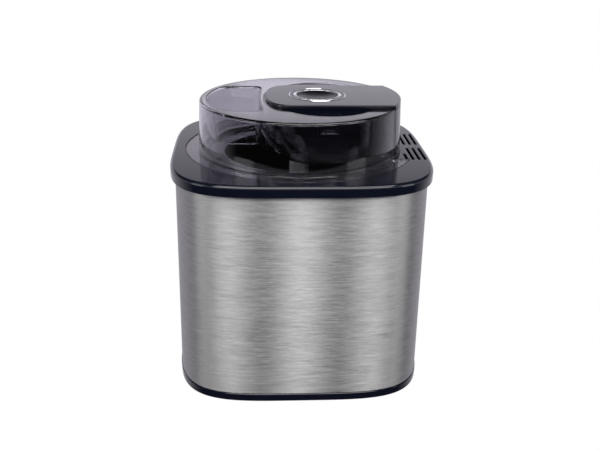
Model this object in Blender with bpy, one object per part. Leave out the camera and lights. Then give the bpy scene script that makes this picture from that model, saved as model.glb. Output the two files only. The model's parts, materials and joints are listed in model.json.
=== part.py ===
"""Ice cream maker: steel-clad base, removable cooling bowl, clear lid, motor unit and paddle.

Sizes are in millimetres and become metres as the meshes are written. +Z is up. The origin is on the
surface that the feet stand on, below the centre of the bowl. +X is the motor's side, -Y the front.
"""

from math import asin, cos, degrees, hypot, pi, radians, sin, sqrt

import bmesh
import bpy
from mathutils import Matrix, Vector

MM = 0.001

# Fits
GAP = 0.3  # between two pieces that touch
SLIDE_GAP = 0.5  # between two pieces that lift apart
SPIN_GAP = 0.35  # radial, round an axle

# Body
BODY_WIDTH = 230.0
BODY_DEPTH = 230.0
BODY_HEIGHT = 203.0  # floor to the bezel's top face
OUTLINE_POWER = 3.94  # of the rounded square: 2 is an ellipse, more is squarer
FOOT_PROUD = 1.5
FOOT_RADIUS = 8.0
FOOT_SEAT = 1.0  # depth of the foot's pocket
FOOT_EDGE_DISTANCE = 38.0  # from the side of the body to the foot's centre
BAND_HEIGHT = 7.5
BAND_INSET = 3.4
BAND_CHAMFER = 1.0
BASE_FLOOR = 3.0
BASE_WALL = 2.5
BASE_LIP_HEIGHT = 7.0
SLEEVE_INSET = 4.0
SLEEVE_THICKNESS = 0.8
BEZEL_SIDE = 10.0
BEZEL_ROUND = 3.0
BEZEL_CHAMFER = 1.0
BEZEL_PLATE = 8.8
BEZEL_SKIRT = 8.0
BEZEL_WALL = 2.5
BEZEL_LAND = 11.0  # least width of the top face outside the lid's flange

# Cord inlet at the rear
INLET_HEIGHT = 30.0
INLET_HOLE = 7.0
GLAND_FLANGE = 2.4
GLAND_THICKNESS = 1.8
GLAND_BORE = 3.3

# Well that the bowl stands in
WELL_WALL = 2.0
WELL_FLANGE = 11.0
WELL_FLANGE_THICKNESS = 2.5
WELL_CLEARANCE = 2.0
WELL_FLOOR_CLEARANCE = 3.0
WELL_RIB_HEIGHT = WELL_FLOOR_CLEARANCE - GAP

# Bowl
BOWL_HEIGHT = 160.0
BOWL_RIM_WIDTH = 4.5  # of the rim that overhangs the outer wall
BOWL_RIM_THICKNESS = 2.7
BOWL_OUTER_WALL = 1.5
BOWL_INNER_WALL = 1.5
BOWL_FLOOR_GEL = 8.0
COOLANT_GAP = 6.5  # between the bowl's two walls
BOWL_RIM_TONGUE = 5.0
COOLANT_HEADROOM = 3.0  # left so the frozen coolant can swell

# Lid
LID_HEIGHT = 45.2  # flange to top
LID_WALL = 2.2
LID_FLANGE_WIDTH = 11.6
LID_FLANGE_THICKNESS = 2.0
LID_DRAFT = 1.6  # how much smaller the wall's radius is at the top
LID_EDGE_ROUND = 1.8
POCKET_WALL = 2.0
POCKET_FLOOR_HEIGHT = 3.2  # above the flange
POCKET_CLEARANCE = 1.0
FINGER_RADIUS = 41.8  # the two hollows that let fingers reach the latches
FINGER_X = 22.0
FINGER_Y = 25.0
CHUTE_HALF_LENGTH = 48.0
CHUTE_RIGHT = -37.0
CHUTE_RIM = 6.5  # from the lid's outer edge to the chute
CHUTE_DEPTH = 30.0
CHUTE_TAPER = 5.0
CHUTE_BOW = 3.0  # of the side next to the motor unit

# Motor unit
UNIT_HALF_WIDTH = 40.5
UNIT_END_LENGTH = 24.0  # of the rounded end by the chute
UNIT_END_CENTRE = -6.8
UNIT_END_POWER = 2.6
UNIT_PROUD = 3.0  # of the lid's top
UNIT_WALL = 2.2
COVER_THICKNESS = 3.2
COVER_LIP = 2.0
COVER_LIP_WALL = 1.6
TAIL_START = 76.0  # where the unit's end steps down past the bowl
COVER_POST = 3.5
COVER_BOSS = 5.0
COVER_BOSS_HEIGHT = 2.5
COVER_POST_AT = ((-18.0, -27.0), (-18.0, 27.0), (71.0, -32.0), (71.0, 32.0))

# Power button
BUTTON_X = 15.4
BUTTON_RADIUS = 18.2
BUTTON_DISH = 1.8
BUTTON_SKIRT = 4.5
BUTTON_FLANGE = 2.0
BUTTON_TRAVEL = 2.5
BUTTON_STEM = 4.0
TRIM_WIDTH = 3.2
TRIM_PROUD = 0.6
TRIM_SEAT = 1.6  # depth of the step that the ring sits in
LIGHT_RING_INNER = 24.85
LIGHT_RING_WIDTH = 0.9
LIGHT_RING_DEPTH = 1.2
LIGHT_RING_PROUD = 0.3

# Release latches, front and rear
LATCH_X = 23.7
LATCH_WIDTH = 20.0
LATCH_HEIGHT = 20.0
LATCH_CENTRE_BELOW_TOP = 17.2
LATCH_REACH_IN = 2.5  # from the unit's wall to the back of a latch's flange
LATCH_FLANGE = 1.5
LATCH_FLANGE_THICKNESS = 1.8
LATCH_TRAVEL = 3.0
LATCH_POST = 1.8
LATCH_SPRING_ROOM = 8.6
LATCH_SPRING_WIRE = 0.45

# Drive
GEAR_MODULE = 1.25
GEAR_BACKLASH = 0.5
GEAR_WIDTH = 3.8
PINION_TEETH = 10
STAGE_TEETH = 32
LAST_PINION_TEETH = 12
OUTPUT_TEETH = 34
STAGE_2_ANGLE = 22.7  # direction of each centre from the one before, starting at the output shaft
STAGE_1_ANGLE = -59.0
MOTOR_ANGLE = 32.2
AXLE_RADIUS = 2.0
SHAFT_RADIUS = 4.0
SHAFT_SQUARE = 7.0
SHAFT_NOSE = 16.0
PLATE_THICKNESS = 2.0
PLATE_CLEARANCE = 1.2
MOTOR_RADIUS = 20.0
MOTOR_HEIGHT = 15.5  # low enough for the pressed button's flange to pass over it
MOTOR_SHAFT = 1.5
MOTOR_ROTOR = 9.0
MOTOR_CAN_END = 2.0
BUSH_WALL = 2.6
BUSH_FLANGE = 1.6
SEAL_HEIGHT = 2.4
SEAL_WALL = 3.4
NOSE_WALL = 1.6

# Paddle
PADDLE_SIDE_GAP = 3.0
PADDLE_BAR = 5.0
PADDLE_BAR_HEIGHT = 9.0
PADDLE_HUB = 9.0
PADDLE_HUB_HEIGHT = 24.0
PADDLE_FLOOR_GAP = 3.0
PADDLE_TOP_BELOW_RIM = 26.0
BLADE_WIDTH = 13.0
BLADE_THICKNESS = 3.0
BLADE_ANGLE = 32.0

# Air vents on the motor's side of the bezel
VENT_COLUMNS = 5
VENT_WIDTH = 2.4
VENT_EDGE = 5.5  # from the side of the body to the outermost slot
VENT_BRIDGE = 11.0  # solid strip between the two rows
VENT_REACH = 42.0
VENT_LID_GAP = 2.5
VENT_DEPTH = 9.2

# Contacts that carry current up to the motor unit
SOCKET_THICKNESS = 3.0
SOCKET_WIDTH = 15.0
SOCKET_HEIGHT = 10.0
PRONG_WIDTH = 3.6
PRONG_THICKNESS = 1.0
PRONG_SPACING = 7.0
PRONG_LENGTH = 6.0

# Power supply in the base
BOARD_EDGE_DISTANCE = 44.0  # from the sides of the body to the board's centre
BOARD_SIZE = 36.0
BOARD_THICKNESS = 1.6
BOARD_POST_HEIGHT = 4.0
BOARD_POST_RADIUS = 2.5
BOARD_POST_INSET = 1.5  # from the board's edge to the post's side
CORE_WIDTH = 14.0
CORE_DEPTH = 26.0
CORE_HEIGHT = 22.0
COIL_WIDTH = 22.0
COIL_DEPTH = 16.0
COIL_INSET = 4.0

# Screws
SCREW_HEAD = 3.0
SCREW_HEAD_HEIGHT = 1.8
SCREW_SHANK = 1.5
SCREW_LENGTH = 10.0
SCREW_HOLD = 4.0  # how far a base screw reaches past the underside of the well
BOSS_RADIUS = 5.0
BOSS_RING = 62.0  # how far the base's screws are from the centre

# Facets round a full circle
OUTLINE, BIG, MIDDLE, SMALL, TINY = 48, 40, 24, 14, 8
SPRING_TURNS = 3
SPRING_FACETS = 10
WIRE_FACETS = 5

# Heights that follow
BASE_Z = FOOT_PROUD
BAND_TOP = BASE_Z + BAND_HEIGHT
BASE_FLOOR_TOP = BASE_Z + BASE_FLOOR
BEZEL_TOP = BODY_HEIGHT
BEZEL_LOW = BEZEL_TOP - BEZEL_SIDE
BEZEL_UNDER = BEZEL_TOP - BEZEL_PLATE
RECESS_Z = BEZEL_TOP - LID_FLANGE_THICKNESS - SLIDE_GAP
FLANGE_Z = RECESS_Z + GAP
BOWL_TOP = RECESS_Z - GAP
BOWL_LEDGE = BOWL_TOP - BOWL_RIM_THICKNESS - GAP
BOWL_BOTTOM = BOWL_TOP - BOWL_HEIGHT
WELL_FLOOR_TOP = BOWL_BOTTOM - WELL_FLOOR_CLEARANCE
WELL_FLOOR = WELL_FLOOR_TOP - WELL_WALL
LID_TOP = BEZEL_TOP + LID_HEIGHT
LID_UNDER = LID_TOP - LID_WALL
POCKET_FLOOR = BEZEL_TOP + POCKET_FLOOR_HEIGHT
POCKET_FLOOR_TOP = POCKET_FLOOR + POCKET_WALL
UNIT_TOP = LID_TOP + UNIT_PROUD
COVER_UNDER = UNIT_TOP - COVER_THICKNESS
HOUSING_TOP = COVER_UNDER - GAP
HOUSING_BOTTOM = POCKET_FLOOR_TOP + GAP
HOUSING_FLOOR_TOP = HOUSING_BOTTOM + UNIT_WALL
TAIL_BOTTOM = RECESS_Z + 2 * GAP
BUSH_SEAT_Z = HOUSING_BOTTOM - 0.5
SEAL_LOW = BUSH_SEAT_Z - SEAL_HEIGHT
OUTPUT_Z = HOUSING_FLOOR_TOP + BUSH_FLANGE
STAGE_2_Z = OUTPUT_Z + GEAR_WIDTH + SLIDE_GAP
STAGE_1_Z = STAGE_2_Z + GEAR_WIDTH + SLIDE_GAP
PLATE_Z = STAGE_1_Z + GEAR_WIDTH + SLIDE_GAP
PLATE_TOP = PLATE_Z + PLATE_THICKNESS

# Radii that follow
HALF_WIDTH = BODY_WIDTH / 2
HALF_DEPTH = BODY_DEPTH / 2
RECESS_R = min(HALF_WIDTH, HALF_DEPTH) - BEZEL_LAND
FLANGE_R = RECESS_R - SLIDE_GAP
LID_R = FLANGE_R - LID_FLANGE_WIDTH
LID_TOP_R = LID_R - LID_DRAFT
SOCKET_R = LID_R - LID_WALL - SOCKET_THICKNESS / 2 - 2.0
BOWL_HOLE_R = SOCKET_R - SOCKET_THICKNESS / 2 - 1.2
BOWL_RIM_R = BOWL_HOLE_R - SLIDE_GAP
BOWL_OUTER_R = BOWL_RIM_R - BOWL_RIM_WIDTH
LEDGE_R = BOWL_OUTER_R + 1.0
COOLANT_OUTER_R = BOWL_OUTER_R - BOWL_OUTER_WALL - GAP
COOLANT_INNER_R = COOLANT_OUTER_R - COOLANT_GAP
BOWL_INNER_R = COOLANT_INNER_R - GAP - BOWL_INNER_WALL
BOWL_FLOOR_TOP = BOWL_BOTTOM + BOWL_OUTER_WALL + BOWL_FLOOR_GEL + BOWL_INNER_WALL + 2 * GAP
WELL_R = BOWL_OUTER_R + WELL_CLEARANCE
PADDLE_REACH = BOWL_INNER_R - PADDLE_SIDE_GAP
PAD_HALF_WIDTH = UNIT_HALF_WIDTH + SLIDE_GAP
PAD_R = LID_R + SLIDE_GAP
TRIM_INNER = BUTTON_RADIUS + SLIDE_GAP
TRIM_OUTER = TRIM_INNER + TRIM_WIDTH
NOSE_R = SHAFT_RADIUS + SPIN_GAP + SEAL_WALL + GAP + NOSE_WALL
SCREW_HOLE = SCREW_SHANK + GAP


def polar(radius, angle, centre=(0.0, 0.0)):
    """The point at this distance and direction, in degrees, from the centre."""
    turn = radians(angle)
    return (centre[0] + radius * cos(turn), centre[1] + radius * sin(turn))


OUTPUT_AT = (0.0, 0.0)
STAGE_2_AT = polar(GEAR_MODULE * (OUTPUT_TEETH + LAST_PINION_TEETH) / 2, STAGE_2_ANGLE, OUTPUT_AT)
STAGE_1_AT = polar(GEAR_MODULE * (STAGE_TEETH + PINION_TEETH) / 2, STAGE_1_ANGLE, STAGE_2_AT)
MOTOR_AT = polar(GEAR_MODULE * (STAGE_TEETH + PINION_TEETH) / 2, MOTOR_ANGLE, STAGE_1_AT)
BUTTON_AT = (BUTTON_X, 0.0)


# Materials: colour, roughness, metallic, alpha
FINISHES = {
    "gloss_black": ((0.012, 0.012, 0.018), 0.12, 0.0, 1.0),
    "brushed_steel": ((0.62, 0.61, 0.60), 0.32, 1.0, 1.0),
    "clear_plastic": ((0.80, 0.80, 0.84), 0.05, 0.0, 0.3),
    "chrome": ((0.85, 0.85, 0.87), 0.08, 1.0, 1.0),
    "matte_black": ((0.02, 0.02, 0.022), 0.5, 0.0, 1.0),
    "grey_plastic": ((0.33, 0.34, 0.36), 0.45, 0.0, 1.0),
    "white_plastic": ((0.82, 0.82, 0.80), 0.4, 0.0, 1.0),
    "aluminium": ((0.80, 0.80, 0.81), 0.28, 1.0, 1.0),
    "coolant": ((0.35, 0.60, 0.80), 0.35, 0.0, 1.0),
    "rubber": ((0.03, 0.03, 0.03), 0.8, 0.0, 1.0),
    "steel": ((0.55, 0.55, 0.56), 0.25, 1.0, 1.0),
    "brass": ((0.75, 0.58, 0.30), 0.3, 1.0, 1.0),
    "circuit_board": ((0.03, 0.22, 0.10), 0.5, 0.0, 1.0),
    "gear_plastic": ((0.86, 0.84, 0.76), 0.45, 0.0, 1.0),
}


def material(finish):
    """The Principled material of this finish, made once."""
    made = bpy.data.materials.get(finish)
    if made:
        return made
    colour, roughness, metallic, alpha = FINISHES[finish]
    made = bpy.data.materials.new(finish)
    made.use_nodes = True
    shader = made.node_tree.nodes["Principled BSDF"]
    shader.inputs["Base Color"].default_value = (*colour, 1.0)
    shader.inputs["Roughness"].default_value = roughness
    shader.inputs["Metallic"].default_value = metallic
    shader.inputs["Alpha"].default_value = alpha
    return made


def empty_group(name, pivot, parent=None):
    """An empty that carries the pieces of one moving body, on its joint's axis."""
    group = bpy.data.objects.new(name, None)
    group.location = Vector(pivot) * MM
    bpy.context.scene.collection.objects.link(group)
    if parent:
        group.parent = parent
        group.matrix_parent_inverse = Matrix.Translation(-parent.location)
    return group


def add_object(name, bm, finish=None, group=None):
    """An object from a closed bmesh in millimetres, with its faces turned outwards."""
    bmesh.ops.recalc_face_normals(bm, faces=bm.faces)
    bmesh.ops.scale(bm, vec=(MM, MM, MM), verts=bm.verts)
    mesh = bpy.data.meshes.new(name)
    bm.to_mesh(mesh)
    bm.free()
    piece = bpy.data.objects.new(name, mesh)
    bpy.context.scene.collection.objects.link(piece)
    mesh.shade_smooth()
    mesh.set_sharp_from_angle(angle=radians(32))
    if finish:
        mesh.materials.append(material(finish))
    if group:
        piece.parent = group
        piece.matrix_parent_inverse = Matrix.Translation(-group.location)
    return piece


def loft(name, rings, finish=None, group=None, closed=False):
    """A body through rings of points; closed joins the last to the first, else both ends are capped."""
    bm = bmesh.new()
    rows = [[bm.verts.new(point) for point in ring] for ring in rings]
    pairs = list(zip(rows, rows[1:]))
    if closed:
        pairs.append((rows[-1], rows[0]))
    else:
        bm.faces.new(rows[0])
        bm.faces.new(rows[-1])
    for low, high in pairs:
        for i in range(len(low)):
            j = (i + 1) % len(low)
            bm.faces.new((low[i], low[j], high[j], high[i]))
    return add_object(name, bm, finish, group)


def combine(owner, piece, operation):
    """Cuts the piece from its owner, or joins it on, and leaves it as a hidden guide."""
    piece.hide_render = True
    piece.display_type = "WIRE"
    modifier = owner.modifiers.new(piece.name, "BOOLEAN")
    modifier.operation = operation
    modifier.solver = "EXACT"
    modifier.object = piece


def cut(owner, *cutters):
    for cutter in cutters:
        combine(owner, cutter, "DIFFERENCE")


def join(owner, *additions):
    for addition in additions:
        combine(owner, addition, "UNION")


def at_height(outline, z):
    return [(x, y, z) for x, y in outline]


def prism(name, outline, low, high, finish=None, group=None):
    return loft(name, [at_height(outline, low), at_height(outline, high)], finish, group)


def circle(radius, count=MIDDLE, centre=(0.0, 0.0), start=0.0):
    return [polar(radius, start + 360 * i / count, centre) for i in range(count)]


def cylinder(name, radius, low, high, centre=(0.0, 0.0), count=SMALL, finish=None, group=None):
    return prism(name, circle(radius, count, centre), low, high, finish, group)


def tube(name, inner, outer, low, high, centre=(0.0, 0.0), count=SMALL, finish=None, group=None):
    profile = [(inner, low), (outer, low), (outer, high), (inner, high)]
    return lathe(name, profile, centre, count, finish, group)


def lathe(name, profile, centre=(0.0, 0.0), count=MIDDLE, finish=None, group=None, closed=True):
    """A turned body. A closed profile is a ring's section; an open one runs between two flat caps."""
    rings = [at_height(circle(radius, count, centre), z) for radius, z in profile]
    return loft(name, rings, finish, group, closed)


def box(name, low, high, finish=None, group=None):
    (x0, y0, z0), (x1, y1, z1) = low, high
    return prism(name, [(x0, y0), (x1, y0), (x1, y1), (x0, y1)], z0, z1, finish, group)


def rounded_rectangle(x0, x1, y0, y1, radius, count=4):
    """An outline with round corners, each of this many facets."""
    corners = (
        (x1 - radius, y1 - radius, 0),
        (x0 + radius, y1 - radius, 90),
        (x0 + radius, y0 + radius, 180),
        (x1 - radius, y0 + radius, 270),
    )
    return [
        polar(radius, start + 90 * i / count, (x, y))
        for x, y, start in corners
        for i in range(count + 1)
    ]


def along_y(name, outline_in_xz, y0, y1, finish=None, group=None):
    """A body with this outline in X and Z, from y0 to y1."""
    rings = [[(x, y, z) for x, z in outline_in_xz] for y in (y0, y1)]
    return loft(name, rings, finish, group)


def power_of(value, exponent):
    return abs(value) ** exponent * (1 if value >= 0 else -1)


def body_outline(inset):
    """The body's rounded square, moved inwards by the inset along its own normal."""
    points = []
    for i in range(OUTLINE):
        turn = 2 * pi * i / OUTLINE
        x = power_of(cos(turn), 2 / OUTLINE_POWER)
        y = power_of(sin(turn), 2 / OUTLINE_POWER)
        normal_x = power_of(x, OUTLINE_POWER - 1) / HALF_WIDTH
        normal_y = power_of(y, OUTLINE_POWER - 1) / HALF_DEPTH
        length = hypot(normal_x, normal_y)
        points.append(
            (
                HALF_WIDTH * x - inset * normal_x / length,
                HALF_DEPTH * y - inset * normal_y / length,
            )
        )
    return points


def unit_outline(inset, end_radius, count=7):
    """The motor unit seen from above: an arc of the lid's circle, two straight sides and a rounded end."""
    half = UNIT_HALF_WIDTH - inset
    reach = end_radius - inset
    corner = degrees(asin(half / reach))
    points = [polar(reach, -corner + 2 * corner * i / (count + 1)) for i in range(count + 2)]
    length = UNIT_END_LENGTH - inset
    for i in range(2 * count + 1):
        turn = pi / 2 + pi * i / (2 * count)
        x = power_of(cos(turn), 2 / UNIT_END_POWER)
        y = power_of(sin(turn), 2 / UNIT_END_POWER)
        points.append((UNIT_END_CENTRE + length * x, half * y))
    return points


def wall_radius(z):
    """The lid wall's outer radius at this height."""
    share = (z - BEZEL_TOP) / LID_HEIGHT
    return LID_R - LID_DRAFT * share


def screw(name, at, tip, head_low, group=None):
    """A pan-head screw driven upwards: head at head_low, tip of the shank at tip."""
    profile = [
        (SCREW_SHANK * 0.6, tip),
        (SCREW_SHANK, tip - SCREW_SHANK),
        (SCREW_SHANK, head_low + SCREW_HEAD_HEIGHT),
        (SCREW_HEAD, head_low + SCREW_HEAD_HEIGHT),
        (SCREW_HEAD, head_low + SCREW_HEAD_HEIGHT * 0.4),
        (SCREW_HEAD * 0.7, head_low),
    ]
    lathe(name, profile, at, TINY, "steel", group, closed=False)


def foot_centres():
    x = HALF_WIDTH - FOOT_EDGE_DISTANCE
    y = HALF_DEPTH - FOOT_EDGE_DISTANCE
    return ((-x, -y), (x, -y), (x, y), (-x, y))


def boss_centres():
    return [polar(BOSS_RING, angle) for angle in (0, 90, 180, 270)]


def make_base():
    lip_inset = SLEEVE_INSET + SLEEVE_THICKNESS + GAP
    lip_top = BAND_TOP + BASE_LIP_HEIGHT
    rings = [
        (BAND_INSET + BAND_CHAMFER, BASE_Z),
        (BAND_INSET, BASE_Z + BAND_CHAMFER),
        (BAND_INSET, BAND_TOP - GAP),
        (lip_inset, BAND_TOP - GAP),
        (lip_inset, lip_top),
        (lip_inset + BASE_WALL, lip_top),
        (lip_inset + BASE_WALL, BASE_FLOOR_TOP),
    ]
    tray = loft("base_tray", [at_height(body_outline(inset), z) for inset, z in rings], "gloss_black")
    pocket_top = BASE_Z + SCREW_HEAD_HEIGHT + 2 * GAP + screw_sink()
    below = BASE_Z - 1
    for i, at in enumerate(boss_centres()):
        join(tray, cylinder(f"base_boss_{i}", BOSS_RADIUS, BASE_FLOOR_TOP - 1, WELL_FLOOR - GAP, at))
    for i, at in enumerate(boss_centres()):
        cut(
            tray,
            cylinder(f"base_screw_hole_{i}", SCREW_HOLE, below, WELL_FLOOR + 1, at, TINY),
            cylinder(f"base_screw_pocket_{i}", SCREW_HEAD + GAP, below, pocket_top, at, TINY),
        )
    for i, at in enumerate(foot_centres()):
        seat = cylinder(f"foot_seat_{i}", FOOT_RADIUS + GAP, BASE_Z - 1, BASE_Z + FOOT_SEAT, at)
        cut(tray, seat)
        profile = [
            (FOOT_RADIUS - 1.0, 0.0),
            (FOOT_RADIUS, 0.8),
            (FOOT_RADIUS, BASE_Z + FOOT_SEAT - GAP),
        ]
        lathe(f"foot_{i + 1}", profile, at, SMALL, "rubber", closed=False)


def screw_sink():
    """How deep the base's screw heads are sunk, so that the screws reach into the well."""
    return WELL_FLOOR - BASE_Z - SCREW_LENGTH + SCREW_HOLD


def make_base_screws():
    for i, at in enumerate(boss_centres()):
        head = BASE_Z + screw_sink() + GAP
        screw(f"base_screw_{i + 1}", at, WELL_FLOOR + SCREW_HOLD, head)


def make_sleeve():
    inner = SLEEVE_INSET + SLEEVE_THICKNESS
    low, high = BAND_TOP, BEZEL_LOW - GAP
    rings = [(SLEEVE_INSET, low), (SLEEVE_INSET, high), (inner, high), (inner, low)]
    outlines = [at_height(body_outline(inset), z) for inset, z in rings]
    sleeve = loft("steel_sleeve", outlines, "brushed_steel", closed=True)
    wall = HALF_DEPTH - SLEEVE_INSET
    cut(sleeve, rear_disc("inlet_hole", INLET_HOLE, wall - 6, wall + 6))


def rear_disc(name, radius, y0, y1):
    outline = [(x, INLET_HEIGHT + z) for x, z in circle(radius, SMALL)]
    return along_y(name, outline, y0, y1)


def make_gland():
    outer_face = HALF_DEPTH - SLEEVE_INSET + GAP
    inner_face = HALF_DEPTH - SLEEVE_INSET - SLEEVE_THICKNESS - GAP
    neck = INLET_HOLE - GAP
    flange = INLET_HOLE + GLAND_FLANGE
    steps = [
        (flange, outer_face + GLAND_THICKNESS),
        (flange, outer_face),
        (neck, outer_face),
        (neck, inner_face),
        (flange, inner_face),
        (flange, inner_face - GLAND_THICKNESS),
        (GLAND_BORE, inner_face - GLAND_THICKNESS),
        (GLAND_BORE, outer_face + GLAND_THICKNESS),
    ]
    rings = [[(x, y, INLET_HEIGHT + z) for x, z in circle(radius, SMALL)] for radius, y in steps]
    loft("cord_gland", rings, "rubber", closed=True)


def make_bezel():
    skirt_outer = SLEEVE_INSET + SLEEVE_THICKNESS + GAP
    skirt_inner = skirt_outer + BEZEL_WALL
    skirt_low = BEZEL_LOW - BEZEL_SKIRT
    section = [
        (skirt_inner, BEZEL_UNDER),
        (skirt_inner, skirt_low),
        (skirt_outer, skirt_low),
        (skirt_outer, BEZEL_LOW),
        (BEZEL_CHAMFER, BEZEL_LOW),
        (0.0, BEZEL_LOW + BEZEL_CHAMFER),
    ]
    for i in range(4):
        turn = radians(30 * i)
        section.append((BEZEL_ROUND * (1 - cos(turn)), BEZEL_TOP - BEZEL_ROUND * (1 - sin(turn))))
    bezel = loft("top_bezel", [at_height(body_outline(inset), z) for inset, z in section], "gloss_black")
    cut(bezel, cylinder("ledge_hole", LEDGE_R, BEZEL_UNDER - 5, BEZEL_TOP + 5, count=BIG))
    cut(bezel, cylinder("rim_seat", BOWL_HOLE_R, BOWL_LEDGE, BEZEL_TOP + 5, count=BIG))
    cut(bezel, prism("lid_recess", recess_outline(), RECESS_Z, BEZEL_TOP + 5))
    cut(bezel, socket_block("socket_hole", SLIDE_GAP / 2, BEZEL_UNDER - 5, BEZEL_TOP + 5))
    cut(bezel, *vent_slots())
    for i, at in enumerate(bezel_screw_centres()):
        top = BEZEL_UNDER + 5.0
        cut(bezel, cylinder(f"bezel_screw_hole_{i}", SCREW_HOLE, BEZEL_UNDER - 1, top, at, TINY))


def recess_outline():
    """The circle that the lid's flange sits in, less the raised pad with the vents."""
    outer = degrees(asin(PAD_HALF_WIDTH / RECESS_R))
    inner = degrees(asin(PAD_HALF_WIDTH / PAD_R))
    wide = [polar(RECESS_R, outer + (360 - 2 * outer) * i / BIG) for i in range(BIG + 1)]
    count = BIG // 8
    narrow = [polar(PAD_R, -inner + 2 * inner * i / count) for i in range(count + 1)]
    return wide + narrow


def vent_slots():
    """Slots that run front to back, in a row on each side of the contact socket."""
    first = sqrt(PAD_R**2 - PAD_HALF_WIDTH**2) + VENT_LID_GAP + VENT_WIDTH
    last = HALF_WIDTH - VENT_EDGE
    slots = []
    for column in range(VENT_COLUMNS):
        x = first + (last - first) * column / (VENT_COLUMNS - 1)
        lid_edge = PAD_R + VENT_LID_GAP + VENT_WIDTH / 2
        beside_lid = sqrt(max(lid_edge**2 - x**2, 0))
        near = max(VENT_BRIDGE / 2, beside_lid)
        for side in (-1, 1):
            y0, y1 = sorted((side * near, side * VENT_REACH))
            half = VENT_WIDTH / 2
            outline = rounded_rectangle(x - half, x + half, y0, y1, half * 0.96, 2)
            name = f"vent_{column}_{'front' if side < 0 else 'rear'}"
            slots.append(prism(name, outline, BEZEL_TOP - VENT_DEPTH, BEZEL_TOP + 5))
    return slots


def bezel_screw_centres():
    ring = WELL_R + WELL_WALL + WELL_FLANGE / 2
    return [polar(ring, angle) for angle in (45, 135, 225, 315)]


def make_well():
    outer = WELL_R + WELL_WALL
    flange_top = BEZEL_UNDER - GAP
    flange_low = flange_top - WELL_FLANGE_THICKNESS
    profile = [
        (outer, WELL_FLOOR),
        (outer, flange_low),
        (outer + WELL_FLANGE, flange_low),
        (outer + WELL_FLANGE, flange_top),
        (WELL_R, flange_top),
        (WELL_R, WELL_FLOOR_TOP),
    ]
    well = lathe("inner_well", profile, count=BIG, finish="grey_plastic", closed=False)
    rib_outer = BOWL_OUTER_R - 12.0
    rib_low, rib_high = WELL_FLOOR_TOP - 0.5, WELL_FLOOR_TOP + WELL_RIB_HEIGHT
    join(well, tube("well_rib", rib_outer - 4.0, rib_outer, rib_low, rib_high, count=MIDDLE))
    cut(well, socket_block("well_socket_notch", 1.0, flange_low - SOCKET_HEIGHT, flange_top + 1))
    below, above = WELL_FLOOR - 1, WELL_FLOOR_TOP + 5
    for i, at in enumerate(boss_centres()):
        cut(well, cylinder(f"well_screw_hole_{i}", SCREW_HOLE, below, above, at, TINY))
    for i, at in enumerate(bezel_screw_centres()):
        hole = cylinder(f"flange_hole_{i}", SCREW_HOLE, flange_low - 1, flange_top + 1, at, TINY)
        cut(well, hole)
        head = flange_low - GAP - SCREW_HEAD_HEIGHT
        screw(f"bezel_screw_{i + 1}", at, BEZEL_UNDER + 4.0, head)


def socket_block(name, margin, low, high, finish=None):
    """The contact socket's own block, or with a margin the hole for it."""
    half_thickness = SOCKET_THICKNESS / 2 + margin
    half_width = SOCKET_WIDTH / 2 + margin
    return box(
        name,
        (SOCKET_R - half_thickness, -half_width, low),
        (SOCKET_R + half_thickness, half_width, high),
        finish,
    )


def prong_outline(side, margin):
    half_thickness = PRONG_THICKNESS / 2 + margin
    half_width = PRONG_WIDTH / 2 + margin
    y = side * PRONG_SPACING / 2
    return (SOCKET_R - half_thickness, y - half_width), (SOCKET_R + half_thickness, y + half_width)


def prong_box(name, side, margin, low, high):
    (x0, y0), (x1, y1) = prong_outline(side, margin)
    return box(name, (x0, y0, low), (x1, y1, high))


def make_socket():
    top = RECESS_Z - GAP
    socket = socket_block("contact_socket", 0.0, top - SOCKET_HEIGHT, top, "matte_black")
    depth = PRONG_LENGTH + 2.0
    for side in (-1, 1):
        cut(socket, prong_box(f"socket_slot_{side}", side, SLIDE_GAP, top - depth, top + 2))


def make_power_supply():
    """The transformer and its board stand on the base in the motor side's rear corner, under the vents."""
    x = HALF_WIDTH - BOARD_EDGE_DISTANCE
    y = HALF_DEPTH - BOARD_EDGE_DISTANCE
    low = BASE_FLOOR_TOP + BOARD_POST_HEIGHT
    half = BOARD_SIZE / 2
    post_at = half - BOARD_POST_RADIUS - BOARD_POST_INSET
    board = box(
        "power_board",
        (x - half, y - half, low),
        (x + half, y + half, low + BOARD_THICKNESS),
        "circuit_board",
    )
    for i, (right, back) in enumerate(((-1, -1), (1, -1), (1, 1), (-1, 1))):
        at = (x + right * post_at, y + back * post_at)
        post = cylinder(f"board_post_{i}", BOARD_POST_RADIUS, BASE_FLOOR_TOP + GAP, low + 0.5, at, TINY)
        join(board, post)
    core_low = low + BOARD_THICKNESS + GAP
    core_high = core_low + CORE_HEIGHT
    core_x, core_y = CORE_WIDTH / 2, CORE_DEPTH / 2
    core = box(
        "transformer",
        (x - core_x, y - core_y, core_low),
        (x + core_x, y + core_y, core_high),
        "steel",
    )
    coil_x, coil_y = COIL_WIDTH / 2, COIL_DEPTH / 2
    coil_outline = rounded_rectangle(x - coil_x, x + coil_x, y - coil_y, y + coil_y, 3.0)
    join(core, prism("transformer_coil", coil_outline, core_low + COIL_INSET, core_high - COIL_INSET))


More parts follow.
